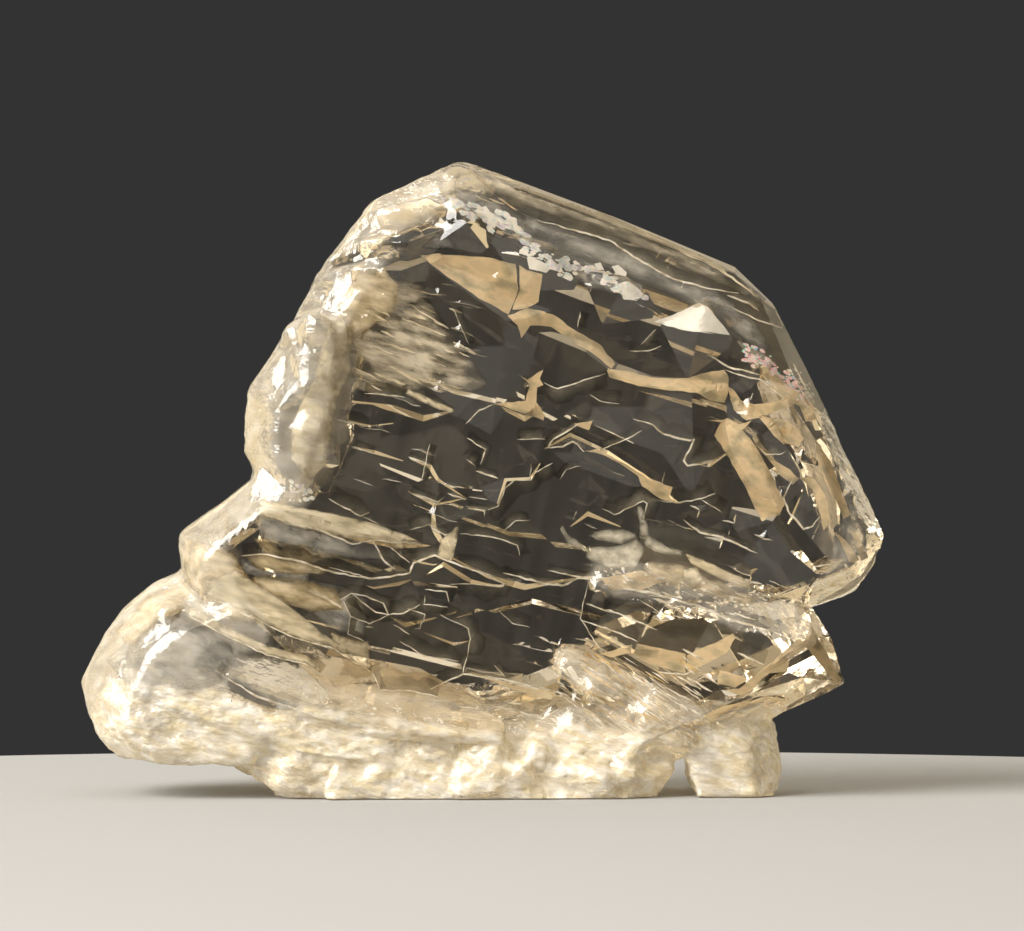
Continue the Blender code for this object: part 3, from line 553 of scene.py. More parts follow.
# Bright threads: each a width, then a broken line
THIN_LINES = (
    (0.10, (-9.3, 31.9), (-7.8, 31.8), (-6.1, 31.6)),
    (0.13, (-11.6, 29.9), (-9.0, 29.3)),
    (0.14, (-10.1, 27.7), (-8.5, 27.2)),
    (0.16, (-5.8, 26.9), (-4.1, 26.3)),
    (0.08, (-4.1, 27.9), (-4.4, 26.5), (-4.8, 25.0)),
    (0.14, (-5.7, 24.1), (-3.5, 23.3), (-3.0, 23.7)),
    (0.16, (-2.7, 24.0), (-1.3, 23.5)),
    (0.13, (-1.2, 28.4), (0.3, 27.5), (-0.1, 26.3)),
    (0.11, (-1.2, 26.7), (-0.5, 26.2)),
    (0.18, (-0.5, 25.8), (1.3, 25.2)),
    (0.08, (2.8, 28.3), (5.0, 28.3)),
    (0.16, (5.2, 27.6), (5.7, 28.3), (6.9, 29.0), (7.7, 29.5)),
    (0.16, (5.2, 27.6), (6.4, 27.7), (7.2, 28.1), (7.6, 27.9), (8.1, 27.3)),
    (0.11, (9.5, 27.5), (11.2, 28.2), (12.7, 29.0)),
    (0.11, (15.4, 23.2), (17.4, 23.6), (18.5, 24.0)),
    (
        0.19, (12.0, 29.9), (13.6, 29.4), (14.4, 28.7), (16.5, 28.2), (16.8, 28.3), (16.0, 26.6),
        (16.3, 26.2), (18.7, 26.7), (19.2, 27.1),
    ),
    (0.10, (5.6, 26.4), (4.1, 25.6)),
    (0.13, (3.9, 26.3), (3.8, 25.1), (2.6, 25.1), (1.8, 24.4), (1.3, 23.0), (0.5, 22.7)),
    (0.11, (-1.1, 22.8), (0.2, 22.6), (0.2, 22.2)),
    (0.13, (-12.1, 23.6), (-9.6, 22.2), (-8.9, 22.5)),
    (0.13, (-7.4, 19.9), (-5.7, 18.5)),
    (0.19, (-8.6, 20.3), (-7.8, 18.7), (-6.9, 18.0)),
    (
        0.18, (-12.1, 18.2), (-10.5, 17.8), (-9.0, 17.3), (-7.2, 17.4), (-5.7, 17.7), (-5.4, 18.5),
        (-3.7, 19.1), (-1.5, 18.2), (0.1, 17.7), (1.8, 16.9), (1.7, 16.7), (0.5, 16.8), (-2.5, 16.8),
    ),
    (0.13, (-4.2, 21.5), (-2.9, 20.7), (-2.7, 20.8)),
    (0.08, (-5.7, 21.1), (-3.8, 21.7)),
    (0.11, (-1.7, 20.8), (-0.3, 20.7), (1.4, 20.4), (2.8, 19.9), (3.0, 19.1)),
    (0.21, (1.7, 17.7), (4.8, 16.9), (6.4, 16.7), (7.6, 17.3), (9.9, 17.3)),
    (0.14, (5.2, 17.9), (7.6, 17.4), (10.1, 17.3)),
    (0.13, (-4.5, 16.4), (-2.8, 16.2), (-2.6, 15.4)),
    (0.09, (-2.7, 15.0), (-4.6, 15.2), (-4.5, 15.9)),
    (
        0.13, (-11.2, 15.6), (-10.3, 16.1), (-9.2, 15.9), (-7.8, 15.3), (-7.4, 14.4), (-8.4, 14.6),
        (-9.2, 15.2), (-10.3, 16.1),
    ),
    (0.14, (-7.4, 14.4), (-6.2, 14.5), (-4.9, 15.2)),
    (0.11, (-7.0, 13.6), (-5.7, 12.8)),
    (0.10, (-5.3, 13.3), (-4.9, 13.3), (-4.5, 14.4), (-5.9, 14.9)),
    (0.08, (-3.3, 14.4), (-1.1, 13.3), (-0.9, 12.5), (-1.1, 11.2)),
    (0.14, (-8.0, 8.5), (-5.7, 8.5), (-3.5, 8.0)),
    (0.19, (-4.0, 8.6), (-1.5, 9.7), (1.7, 9.3), (4.6, 8.6), (6.8, 8.0), (7.7, 7.2)),
    (0.10, (-1.5, 9.7), (-1.1, 11.2)),
    (0.10, (1.0, 10.4), (1.8, 9.5)),
    (0.16, (0.2, 7.3), (2.8, 6.8), (4.8, 6.1), (6.1, 6.9)),
    (0.10, (-8.6, 9.9), (-8.0, 8.6)),
    (0.11, (9.5, 22.8), (10.5, 22.3), (12.8, 23.4), (13.1, 23.2), (12.8, 22.0)),
    (0.14, (7.8, 38.4), (7.6, 37.2)),
    (0.13, (-1.3, 29.5), (-0.2, 30.6), (1.0, 31.1)),
    (0.11, (9.8, 33.5), (8.5, 33.1), (6.0, 32.3), (4.9, 32.8)),
    (0.10, (11.7, 35.3), (13.2, 35.3), (14.2, 35.7)),
    (0.18, (4.4, 45.7), (7.3, 44.9), (10.1, 44.1), (12.0, 42.8), (15.2, 41.0), (18.3, 40.2), (20.4, 39.9)),
    (0.18, (17.9, 35.0), (19.6, 34.0), (22.0, 33.4)),
    (0.14, (19.3, 33.8), (20.4, 33.4), (22.2, 33.0), (23.9, 31.5)),
    (0.11, (21.6, 27.9), (22.4, 27.1), (23.6, 27.1), (24.0, 27.3)),
    (0.19, (24.6, 25.1), (23.9, 23.7), (24.3, 22.6), (25.5, 21.2), (26.2, 21.4), (26.8, 22.2)),
    (0.16, (26.3, 18.2), (27.7, 18.4)),
    (0.21, (19.5, 39.7), (21.2, 39.1), (22.0, 38.5)),
    (0.14, (19.9, 38.7), (22.0, 37.7), (23.8, 37.1)),
    (0.19, (16.0, 21.9), (17.3, 20.9), (18.8, 20.6), (21.8, 19.3)),
    (0.24, (9.7, 16.8), (13.9, 16.0), (17.2, 15.1), (19.3, 14.1), (22.2, 13.3), (24.4, 12.5)),
    (0.13, (9.6, 14.8), (10.8, 14.5), (12.0, 14.0), (13.9, 13.2)),
    (0.08, (8.5, 17.2), (8.1, 15.6), (7.8, 14.1), (9.3, 11.8), (11.2, 10.5)),
    (0.14, (7.8, 14.0), (11.0, 12.9), (12.3, 12.3)),
    (0.16, (14.0, 9.9), (16.0, 9.7), (16.8, 10.0)),
    (0.21, (20.2, 11.4), (22.3, 10.5)),
    (0.11, (-18.1, 21.9), (-17.6, 22.8), (-14.5, 22.5), (-12.1, 21.9)),
    (0.18, (-18.9, 19.1), (-16.9, 19.2), (-14.5, 18.7), (-12.1, 17.9), (-10.4, 17.5), (-8.5, 17.2)),
    (0.21, (-20.9, 10.1), (-17.7, 8.1), (-12.1, 6.3), (-6.5, 5.5)),
    (0.10, (-10.9, 15.5), (-10.4, 14.3), (-8.9, 13.7), (-7.4, 14.4)),
    (0.14, (-21.8, 16.0), (-18.0, 14.2), (-15.2, 12.8), (-12.0, 11.9), (-8.8, 10.0)),
    (0.14, (-23.1, 14.3), (-20.0, 12.8), (-16.9, 11.3), (-13.9, 10.6), (-12.7, 9.8)),
    (0.16, (-15.6, 21.7), (-13.0, 21.2), (-10.2, 20.0), (-8.4, 20.4), (-4.8, 20.0)),
    (0.10, (-10.4, 14.3), (-10.6, 12.9), (-9.3, 12.3)),
    (0.10, (-6.5, 12.3), (-4.5, 11.1), (-1.8, 10.7)),
    (0.07, (6.2, 25.1), (6.7, 25.9), (7.8, 26.2)),
    (0.07, (1.8, 21.1), (2.6, 21.8), (3.8, 21.9)),
    (0.07, (8.6, 31.8), (9.4, 31.3), (10.9, 31.1)),
    (0.07, (13.8, 37.0), (12.6, 35.8)),
    (0.07, (-2.2, 38.6), (-1.6, 37.0), (-1.0, 35.8)),
    (0.08, (17.4, 23.5), (19.0, 22.5)),
    (0.08, (12.6, 15.5), (14.2, 14.5), (16.6, 14.0)),
    (0.07, (1.4, 14.7), (2.4, 13.7), (3.8, 13.4)),
)

# Highlights painted as bright strips along the edges: each a width, then a broken line
PAINTED_EDGE_HIGHLIGHTS = (
    (0.40, (-1.0, 49.8), (4.6, 48.1), (10.4, 45.9), (14.4, 44.0), (18.8, 41.9), (22.0, 39.5)),
    (0.19, (23.3, 38.5), (25.4, 34.5), (28.4, 28.2), (31.4, 21.9)),
    (0.48, (31.6, 19.9), (30.5, 17.7), (28.7, 16.3), (26.7, 15.3)),
    (0.16, (-8.1, 47.7), (-10.5, 44.2), (-12.1, 42.5)),
    (0.24, (-23.5, 20.9), (-20.7, 22.8), (-18.5, 24.7)),
    (0.24, (-28.4, 14.5), (-26.5, 16.1), (-24.3, 17.2)),
)

# Cloudy patches: each how deep it lies under the front, then its outline
STREAKED_VEILS = {
    "streaked patch": (
        0.5, (-10.9, 39.4), (-8.1, 41.4), (-4.9, 40.6), (-2.6, 37.0), (-0.2, 33.8), (0.6, 32.6),
        (-1.0, 31.8), (-4.9, 32.2), (-8.9, 31.4), (-10.9, 33.0), (-11.5, 36.2),
    ),
    "roof band": (
        0.3, (-1.2, 49.8), (0.2, 49.9), (3.0, 48.8), (6.2, 47.7), (10.2, 46.0), (14.2, 44.2), (19.0, 41.9),
        (21.8, 39.8), (20.8, 39.6), (18.4, 40.8), (15.0, 42.4), (11.0, 44.2), (7.4, 45.3), (4.6, 46.4),
        (2.2, 46.8), (1.0, 47.8), (-0.3, 48.9),
    ),
}
SOFT_VEILS = {
    "drop": (1.5, (-1.2, 14.5), (-0.9, 14.7), (-0.6, 14.5), (-0.6, 14.2), (-0.9, 14.0), (-1.2, 14.2)),
    "second drop": (2.0, (4.2, 14.3), (4.6, 14.5), (5.0, 14.2), (4.8, 13.9), (4.3, 13.9)),
}
# Hazes with the light of the sky painted on them as a bluish grey; the rim along the upper right edge is a
# painted edge highlight
HAZES_PAINTED_SKY_GREY = {
    "facet under the tip": (0.3, (-4.9, 43.5), (-3.5, 44.7), (-2.7, 44.5), (-1.9, 43.6), (-3.5, 43.3)),
    "rib haze": (
        0.4, (-19.2, 19.0), (-16.0, 18.8), (-13.2, 18.4), (-13.6, 16.9), (-16.4, 17.0), (-18.8, 17.6),
    ),
    "haze under the upper rib": (
        0.5, (-17.6, 23.1), (-12.1, 21.1), (-6.5, 19.5), (-6.9, 18.7), (-12.1, 18.7), (-15.7, 19.2),
        (-17.9, 21.1),
    ),
    "haze over the third rib": (
        0.5, (-14.5, 17.5), (-10.9, 16.7), (-8.9, 15.5), (-9.3, 12.3), (-11.3, 12.9), (-13.3, 14.3),
        (-14.9, 16.3),
    ),
    "haze in the lump": (
        0.6, (-29.7, 10.7), (-26.5, 13.5), (-23.7, 14.7), (-20.1, 12.3), (-18.5, 9.9), (-22.5, 8.3),
        (-26.5, 7.5),
    ),
    "roof haze": (
        0.8, (-2.2, 48.2), (1.4, 47.4), (4.6, 44.8), (9.4, 42.5), (13.0, 40.6), (12.6, 39.4), (8.6, 40.2),
        (4.6, 42.5), (1.4, 44.6), (-1.8, 46.2),
    ),
    "outer roof haze": (
        0.8, (3.0, 46.4), (8.0, 44.6), (13.6, 42.8), (18.4, 40.4), (21.4, 38.0), (23.0, 35.4), (21.8, 35.0),
        (19.0, 37.6), (14.6, 39.8), (9.0, 42.0), (3.4, 44.6),
    ),
    "rim": (0.3, (17.2, 42.9), (20.0, 41.4), (22.6, 39.4), (22.2, 39.0), (19.6, 40.8), (17.0, 42.3)),
}
MILKY_VEILS = {
    "side blade": (
        0.3, (-23.6, 20.4), (-19.6, 19.4), (-18.6, 17.6), (-20.2, 15.4), (-22.8, 16.4), (-23.4, 18.0),
    ),
    "rib root": (
        0.3, (-17.4, 23.0), (-15.0, 22.6), (-11.0, 21.8), (-11.4, 20.7), (-14.2, 21.4), (-16.0, 22.0),
    ),
    "second rib": (
        0.3, (-19.0, 19.2), (-16.9, 19.3), (-14.5, 18.8), (-12.1, 18.2), (-12.4, 17.6), (-14.6, 17.6),
        (-17.6, 18.0),
    ),
    "third rib root": (0.4, (-21.6, 18.6), (-19.0, 18.4), (-16.4, 15.4), (-17.6, 13.6), (-20.6, 14.4)),
    "lump top": (
        0.4, (-29.0, 13.0), (-26.4, 15.8), (-23.4, 17.2), (-22.4, 16.0), (-25.2, 14.0), (-27.8, 11.6),
    ),
    "over the crust": (
        0.4, (-19.6, 8.2), (-16.0, 7.2), (-12.0, 6.8), (-6.0, 6.4), (-1.0, 6.0), (-1.2, 4.8), (-8.0, 5.2),
        (-16.0, 5.8),
    ),
    "cloud beside the patch": (
        0.4, (-10.9, 41.6), (-7.7, 41.9), (-6.5, 40.6), (-6.9, 38.6), (-8.9, 37.0), (-10.9, 35.8),
        (-11.7, 39.4),
    ),
    "facet under the upper rib": (
        0.5, (-18.2, 20.6), (-14.0, 20.0), (-11.0, 18.9), (-13.4, 18.4), (-16.8, 18.9),
    ),
    "facet between the ribs": (
        0.4, (-18.6, 17.6), (-14.8, 17.4), (-11.4, 16.4), (-11.0, 14.8), (-13.6, 14.6), (-16.6, 15.6),
    ),
    "above the seam": (
        0.6, (12.8, 18.6), (15.8, 18.4), (17.8, 17.4), (22.0, 15.6), (21.0, 14.8), (16.6, 16.4),
        (13.0, 16.8),
    ),
}
FLUFFY_VEILS = {
    "arm": (0.5, (6.0, 21.4), (6.5, 21.5), (7.0, 20.6), (8.6, 19.7), (8.4, 19.2), (6.8, 19.9)),
    "feather": (
        0.5, (8.2, 19.9), (10.0, 19.8), (11.3, 20.0), (12.3, 20.5), (13.0, 19.6), (12.4, 18.1),
        (10.1, 17.9), (8.2, 18.9),
    ),
    "upper feather": (0.7, (8.1, 20.7), (9.8, 21.2), (11.4, 21.2), (12.5, 20.7), (11.2, 19.9), (9.7, 20.1)),
    "stem": (0.6, (12.2, 23.0), (12.7, 23.1), (13.2, 21.6), (13.4, 20.4), (12.4, 20.3), (12.5, 21.6)),
    "tail": (
        0.5, (12.6, 20.7), (13.4, 20.7), (14.6, 19.8), (15.9, 19.5), (15.8, 19.0), (14.2, 19.1),
        (13.0, 19.7),
    ),
}

# The ranges of the width in mm and the strength of the haze that hangs over a thin line
HAZE_WIDTHS = (0.4, 1.3)
HAZE_STRENGTHS = (0.2, 0.8)

# Flecks along a broken line: how many, how far they stray from it, and their smallest and largest radius
FLECKS = {
    # pearl: flakes painted with a pearly sheen
    "pearl": (
        (
            ((-2.6, 47.0), (-0.2, 46.2), (2.4, 45.3), (3.8, 43.3), (6.2, 42.0), (9.4, 41.3), (12.6, 39.4)),
            190, 0.50, (0.12, 0.46),
        ),
        (((-16.9, 25.1), (-14.5, 24.3), (-13.6, 23.7)), 26, 0.35, (0.12, 0.32)),
        (((-8.8, 46.6), (-6.5, 47.8), (-4.1, 48.4)), 30, 0.90, (0.12, 0.30)),
    ),
    # rainbow: flakes painted with rainbow glints
    "rainbow": (
        (((21.0, 35.3), (22.6, 34.2), (24.6, 32.6), (25.8, 31.3)), 110, 0.55, (0.10, 0.32)),
    ),
    # bright: white flecks painted as glints and glitter along the edges, the seam and the crust
    "bright": (
        (((30.3, 25.9), (31.4, 21.9), (30.3, 18.7), (27.9, 16.9), (26.6, 15.5)), 90, 0.70, (0.06, 0.22)),
        (((9.9, 17.2), (12.6, 17.6), (16.6, 16.3), (20.6, 15.2), (26.0, 13.6)), 90, 0.55, (0.06, 0.22)),
        (((-14.5, 8.5), (-9.7, 7.3), (-4.1, 6.2), (1.4, 4.6), (6.2, 3.7)), 90, 0.60, (0.06, 0.20)),
        (((24.6, 33.8), (26.3, 30.6), (28.2, 26.7)), 40, 0.60, (0.06, 0.22)),
        (((-18.5, 28.2), (-16.5, 31.4), (-14.5, 36.2)), 20, 1.20, (0.06, 0.20)),
    ),
    "bubble": (
        (((12.6, 43.7), (17.4, 41.3)), 18, 0.70, (0.05, 0.13)),
        (((-4.9, 37.0), (-1.0, 25.1), (6.2, 14.7)), 60, 6.00, (0.02, 0.05)),
    ),
}

# Shards in a box (low x, high x, low z, high z): how many, their slope in degrees, and the ranges of their
# length and width
SHARDS = {
    "gold": (
        ((6.2, 15.6, 5.4, 11.6), 34, -34, (0.8, 3.0), (0.08, 0.30)),
        ((16.0, 22.0, 1.0, 6.4), 16, -30, (0.5, 1.6), (0.06, 0.20)),
    ),
    "tan": (
        ((-1.0, 12.6, 45.4, 49.4), 16, -26, (0.6, 2.0), (0.06, 0.20)),
        ((6.2, 16.6, 5.9, 11.1), 30, -34, (0.8, 2.6), (0.08, 0.30)),
    ),
    "cream": (
        ((-10.9, -1.6, 32.4, 39.6), 22, -24, (0.8, 3.0), (0.08, 0.34)),
    ),
    "bright": (
        ((5.2, 17.2, 4.6, 11.7), 110, -34, (0.6, 3.0), (0.06, 0.26)),
        ((-8.1, 9.4, 3.5, 7.5), 40, -12, (0.6, 2.4), (0.05, 0.14)),
        ((-8.9, -1.6, 32.2, 36.4), 40, -24, (0.3, 1.2), (0.05, 0.16)),
        ((12.6, 24.6, 14.3, 17.5), 40, -20, (0.5, 1.8), (0.06, 0.22)),
    ),
}
# In mm: how thick a film is, the length of its longest edge, and how deep faces, lines and hazes lie
SHEET_THICKNESS = 0.04
SHEET_GRAIN = 0.6
FACE_DEPTH = 0.25
LINE_DEPTH = 0.12
HAZE_DEPTH = 0.45


# The pitch and the stray in mm of the points along a line and along a film's outline, and the share of
# its length over which each end of a thread and of a haze tapers
LINE_JAGS = (0.45, 0.05)
EDGE_JAGS = (0.5, 0.05)
THREAD_TAPER = 0.3
HAZE_TAPER = 0.25
# A fleck's sides, the waver of its outline, its height over its width, its lean as shares of the growth
# line's, and the depths in mm it lies at
FLECK_SIDES = (8, 12)
FLECK_WAVER = (0.75, 1.2)
FLECK_SQUASH = 0.6
FLECK_LEAN = (0.5, 3.0)
FLECK_DEPTHS = (0.1, 0.5)
# How far a shard turns off the slope of its box, in degrees, and the depths in mm it lies at
SHARD_STRAY = 8.0
SHARD_DEPTHS = (0.15, 0.6)
# How far round a point the front is felt, so that nothing stands out of a rough part or past the edge
FEEL = 0.2


def under_front(x, z, depth, find):
    """A point in metres under the front of the crystal, or None past its edge."""
    around = ((0.0, 0.0), (FEEL, 0.0), (-FEEL, 0.0), (0.0, FEEL), (0.0, -FEEL))
    fronts = [find(x + across, z + up, -1.0) for across, up in around]
    return None if None in fronts else Vector((x, max(fronts) + depth, z)) * MM


def glow_layer(bm):
    """The point layer that says how strongly a film shows, from 0 to 1."""
    return bm.verts.layers.float.get("glow") or bm.verts.layers.float.new("glow")


def thicken(bm, faces):
    """Makes a sheet a thin closed solid, from its front to a little behind."""
    made = bmesh.ops.extrude_face_region(bm, geom=faces)["geom"]
    verts = [item for item in made if isinstance(item, bmesh.types.BMVert)]
    bmesh.ops.translate(bm, verts=verts, vec=(0.0, SHEET_THICKNESS * MM, 0.0))


def place_points(bm, places):
    """Moves points to their places, and deletes those that have none, past the edge of the crystal."""
    for vert, place in places.items():
        if place is not None:
            vert.co = place
    lost = [vert for vert, place in places.items() if place is None]
    bmesh.ops.delete(bm, geom=lost, context="VERTS")
    kept = [vert for vert in places if vert.is_valid]
    thicken(bm, list(dict.fromkeys(face for vert in kept for face in vert.link_faces)))


def edge_distance(spot, outline):
    """The distance in mm from a spot to the nearest side of an outline."""
    nearest = FAR
    for start, end in zip(outline, outline[1:] + outline[:1]):
        run = end - start
        share = min(1.0, max(0.0, (spot - start).dot(run) / run.length_squared))
        nearest = min(nearest, (spot - start - run * share).length)
    return nearest


def sheet(bm, outline, depth, fade, find, chance):
    """Adds a thin sheet that follows the front just under it, and fades out over `fade` mm at its edge."""
    edge = jagged(outline + outline[:1], chance, *EDGE_JAGS)[:-1]
    flat = bmesh.new()
    glow = glow_layer(flat)
    first = flat.faces.new([flat.verts.new(Vector((spot.x, 0.0, spot.y)) * MM) for spot in edge])
    first.normal_update()
    bmesh.ops.triangulate(flat, faces=[first], ngon_method="EAR_CLIP")
    long_edges = flat.edges[:]
    while long_edges:
        bmesh.ops.subdivide_edges(flat, edges=long_edges, cuts=1)
        bmesh.ops.triangulate(flat, faces=[face for face in flat.faces if len(face.verts) > 3])
        long_edges = [side for side in flat.edges if side.calc_length() > SHEET_GRAIN * MM]
    places = {}
    for vert in flat.verts:
        spot = Vector((vert.co.x, vert.co.z)) / MM
        vert[glow] = min(1.0, edge_distance(spot, edge) / fade) if fade else 1.0
        places[vert] = under_front(spot.x, spot.y, depth, find)
    place_points(flat, places)
    mesh = bpy.data.meshes.new("sheet")
    flat.to_mesh(mesh)
    flat.free()
    bm.from_mesh(mesh)
    bpy.data.meshes.remove(mesh)


def ribbon(bm, line, width, depth, find, chance):
    """Adds a thin strip of a broken line, tapered to its ends."""
    glow = glow_layer(bm)
    points = jagged(line, chance, *LINE_JAGS)
    last = len(points) - 1
    made = bmesh.ops.create_grid(bm, x_segments=last, y_segments=1, size=0.5)["verts"]
    places = {}
    for vert in made:
        index = round((vert.co.x + 0.5) * last)
        run = (points[min(index + 1, last)] - points[max(index - 1, 0)]).normalized()
        from_end = min(index, last - index) / max(1.0, THREAD_TAPER * last)
        uneven = 0.8 + 0.4 * noise.noise(Vector((index * 0.7, width, 0.0)))
        half = 0.5 * width * min(1.0, 0.25 + from_end) * uneven
        spot = points[index] + Vector((-run.y, run.x)) * math.copysign(half, vert.co.y)
        vert[glow] = 1.0
        places[vert] = under_front(spot.x, spot.y, depth, find)
    place_points(bm, places)


def band(bm, line, width, depth, strength, find, chance):
    """Adds a strip that is bright along a broken line and fades on the left of its run, over its width."""
    glow = glow_layer(bm)
    points = jagged(line, chance, *LINE_JAGS)
    last = len(points) - 1
    made = bmesh.ops.create_grid(bm, x_segments=last, y_segments=4, size=0.5)["verts"]
    places = {}
    for vert in made:
        index = round((vert.co.x + 0.5) * last)
        up = vert.co.y + 0.5
        run = (points[min(index + 1, last)] - points[max(index - 1, 0)]).normalized()
        from_end = min(1.0, min(index, last - index) / max(1.0, HAZE_TAPER * last))
        reach = width * (0.9 + 0.5 * noise.noise(Vector((index * 0.6, width, 3.0))))
        spot = points[index] + Vector((-run.y, run.x)) * reach * up
        vert[glow] = strength * (1.0 - up) ** 1.5 * from_end
        places[vert] = under_front(spot.x, spot.y, depth, find)
    place_points(bm, places)


def fleck(bm, spot, radius, depth, find, chance):
    """Adds a small many-sided flake, drawn out along the growth lines, that lies under the front."""
    place = under_front(spot.x, spot.y, depth, find)
    if place is None:
        return
    glow = glow_layer(bm)
    sides = chance.randint(*FLECK_SIDES)
    made = bmesh.ops.create_circle(bm, cap_ends=True, segments=sides, radius=radius * MM)
    verts = made["verts"]
    for vert in verts:
        vert[glow] = 1.0
        vert.co *= chance.uniform(*FLECK_WAVER)
        vert.co.y *= FLECK_SQUASH
    lean = Matrix.Rotation(-GROWTH_LINE * chance.uniform(*FLECK_LEAN), 4, "Y")
    turn = lean @ Matrix.Rotation(math.radians(90.0), 4, "X")
    bmesh.ops.transform(bm, matrix=Matrix.Translation(place) @ turn, verts=verts)
    thicken(bm, list(dict.fromkeys(face for vert in verts for face in vert.link_faces)))


def flecks(bm, rows, find, chance):
    """Adds rows of flakes that stray from their broken lines."""
    for run, count, stray, sizes in rows:
        for _ in range(count):
            index = chance.randrange(len(run) - 1)
            spot = Vector(run[index]).lerp(Vector(run[index + 1]), chance.random())
            spot += Vector((chance.gauss(0.0, 0.6), chance.gauss(0.0, 0.6))) * stray
            fleck(bm, spot, chance.uniform(*sizes), chance.uniform(*FLECK_DEPTHS), find, chance)


def shards(bm, rows, find, chance):
    """Adds boxes of short thin strips that all slope much the same."""
    for box, count, slope, lengths, widths in rows:
        for _ in range(count):
            start = Vector((chance.uniform(box[0], box[1]), chance.uniform(box[2], box[3])))
            angle = math.radians(slope + chance.uniform(-SHARD_STRAY, SHARD_STRAY))
            end = start + Vector((math.cos(angle), math.sin(angle))) * chance.uniform(*lengths)
            if under_front(start.x, start.y, 0.0, find) and under_front(end.x, end.y, 0.0, find):
                width, depth = chance.uniform(*widths), chance.uniform(*SHARD_DEPTHS)
                ribbon(bm, (start, end), width, depth, find, chance)


def inner_piece(name, bm, material):
    """Finishes a set of films as one piece that rides in the crystal."""
    bmesh.ops.triangulate(bm, faces=bm.faces[:])
    bmesh.ops.recalc_face_normals(bm, faces=bm.faces[:])
    piece = new_piece(name, bm)
    piece.data.materials.append(material)
    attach(piece, "root")


def faces(bm, outlines, find, chance, fade):
    """Adds the sheets of inner faces, which all lie at one depth."""
    for outline in outlines.values():
        sheet(bm, outline, FACE_DEPTH, fade, find, chance)


def veils(bm, outlines, find, chance, fade):
    """Adds the sheets of cloudy patches, each at its own depth."""
    for depth, *outline in outlines.values():
        sheet(bm, outline, depth, fade, find, chance)


def threads(bm, lines, find, chance):
    """Adds the thin strips of cracks, and the highlights painted as strips along the edges."""
    for width, *line in lines:
        ribbon(bm, line, width, LINE_DEPTH, find, chance)


def hazes(bm, lines, find, chance):
    """Adds the haze that hangs over thin lines."""
    for _, *line in lines:
        width = chance.uniform(*HAZE_WIDTHS)
        band(bm, line, width, HAZE_DEPTH, chance.uniform(*HAZE_STRENGTHS), find, chance)


# What is drawn, in order: the piece it is part of, the way, what it is drawn from, and for faces and veils
# over how many mm from their edges they fade in
DRAWING = (
    # growth faces with a painted warm reflection
    ("tan_growth_faces", faces, TAN_PAINTED_REFLECTION_FACES, 0.0),
    ("tan_growth_faces", shards, SHARDS["tan"]),
    ("cream_growth_faces", faces, CREAM_FACES, 0.15),
    ("cream_growth_faces", shards, SHARDS["cream"]),
    # bright strips painted along the edges as highlights
    ("cream_growth_faces", threads, PAINTED_EDGE_HIGHLIGHTS),
    # faces painted almost white as highlights
    ("pale_growth_faces", faces, PAINTED_HIGHLIGHT_FACES, 0.0),
    ("healed_cracks", threads, THIN_LINES),
    ("healed_cracks", shards, SHARDS["bright"]),
    ("golden_splinters", shards, SHARDS["gold"]),
    # white flecks painted as glints
    ("healed_cracks", flecks, FLECKS["bright"]),
    ("streaked_veils", veils, STREAKED_VEILS, 1.2),
    ("soft_veils", veils, SOFT_VEILS, 0.8),
    ("soft_veils", flecks, FLECKS["bubble"]),
    ("soft_veils", hazes, THIN_LINES),
    # hazes with a painted bluish grey reflection of the sky
    ("cool_veils", veils, HAZES_PAINTED_SKY_GREY, 0.8),
    ("milky_veils", veils, MILKY_VEILS, 0.6),
    ("fluffy_veils", veils, FLUFFY_VEILS, 0.45),
    # flakes with a painted pearly sheen
    ("pearly_flecks", flecks, FLECKS["pearl"]),
    # flakes with painted rainbow glints
    ("rainbow_flecks", flecks, FLECKS["rainbow"]),
)


def inner_films(find, chance):
    """The thin bright things in the crystal, one piece to a finish."""
    drawn = {name: bmesh.new() for name in FILMS}
    for name, draw, source, *fade in DRAWING:
        draw(drawn[name], source, find, chance, *fade)
    for name, (finish, *looks) in FILMS.items():
        inner_piece(name, drawn[name], inner_film(finish, *looks))


# ---------------------------------------------------------------------------------------------------------
# Materials

def fill_ramp(ramp, stops):
    """Gives a colour ramp its (place, hex colour) stops."""
    elements = ramp.color_ramp.elements
    elements.remove(elements[1])
    for index, (place, code) in enumerate(stops):
        element = elements.new(place) if index else elements[0]
        element.position = place
        element.color = colour(code)


def growth_streaks(tree, along, across, detail=3.0):
    """Noise stretched along the growth lines, with its grain in mm along and across them."""
    where = add_node(tree, "ShaderNodeTexCoord")
    turn = add_node(tree, "ShaderNodeMapping", {"Rotation": (0.0, GROWTH_LINE, 0.0)},
                    {"Vector": where.outputs["Object"]})
    grain = (1.0 / (along * MM), 1.0 / (across * MM), 1.0 / (across * MM))
    squeeze = add_node(tree, "ShaderNodeMapping", {"Scale": grain}, {"Vector": turn.outputs[0]})
    return add_node(tree, "ShaderNodeTexNoise", {"Scale": 1.0, "Detail": detail},
                    {"Vector": squeeze.outputs[0]})


# Quartz's IOR, the density of its absorption, and the depth in mm of the pits in its frost
QUARTZ_IOR = 1.544
QUARTZ_ABSORPTION = 9.0
PIT_DEPTH = 0.2


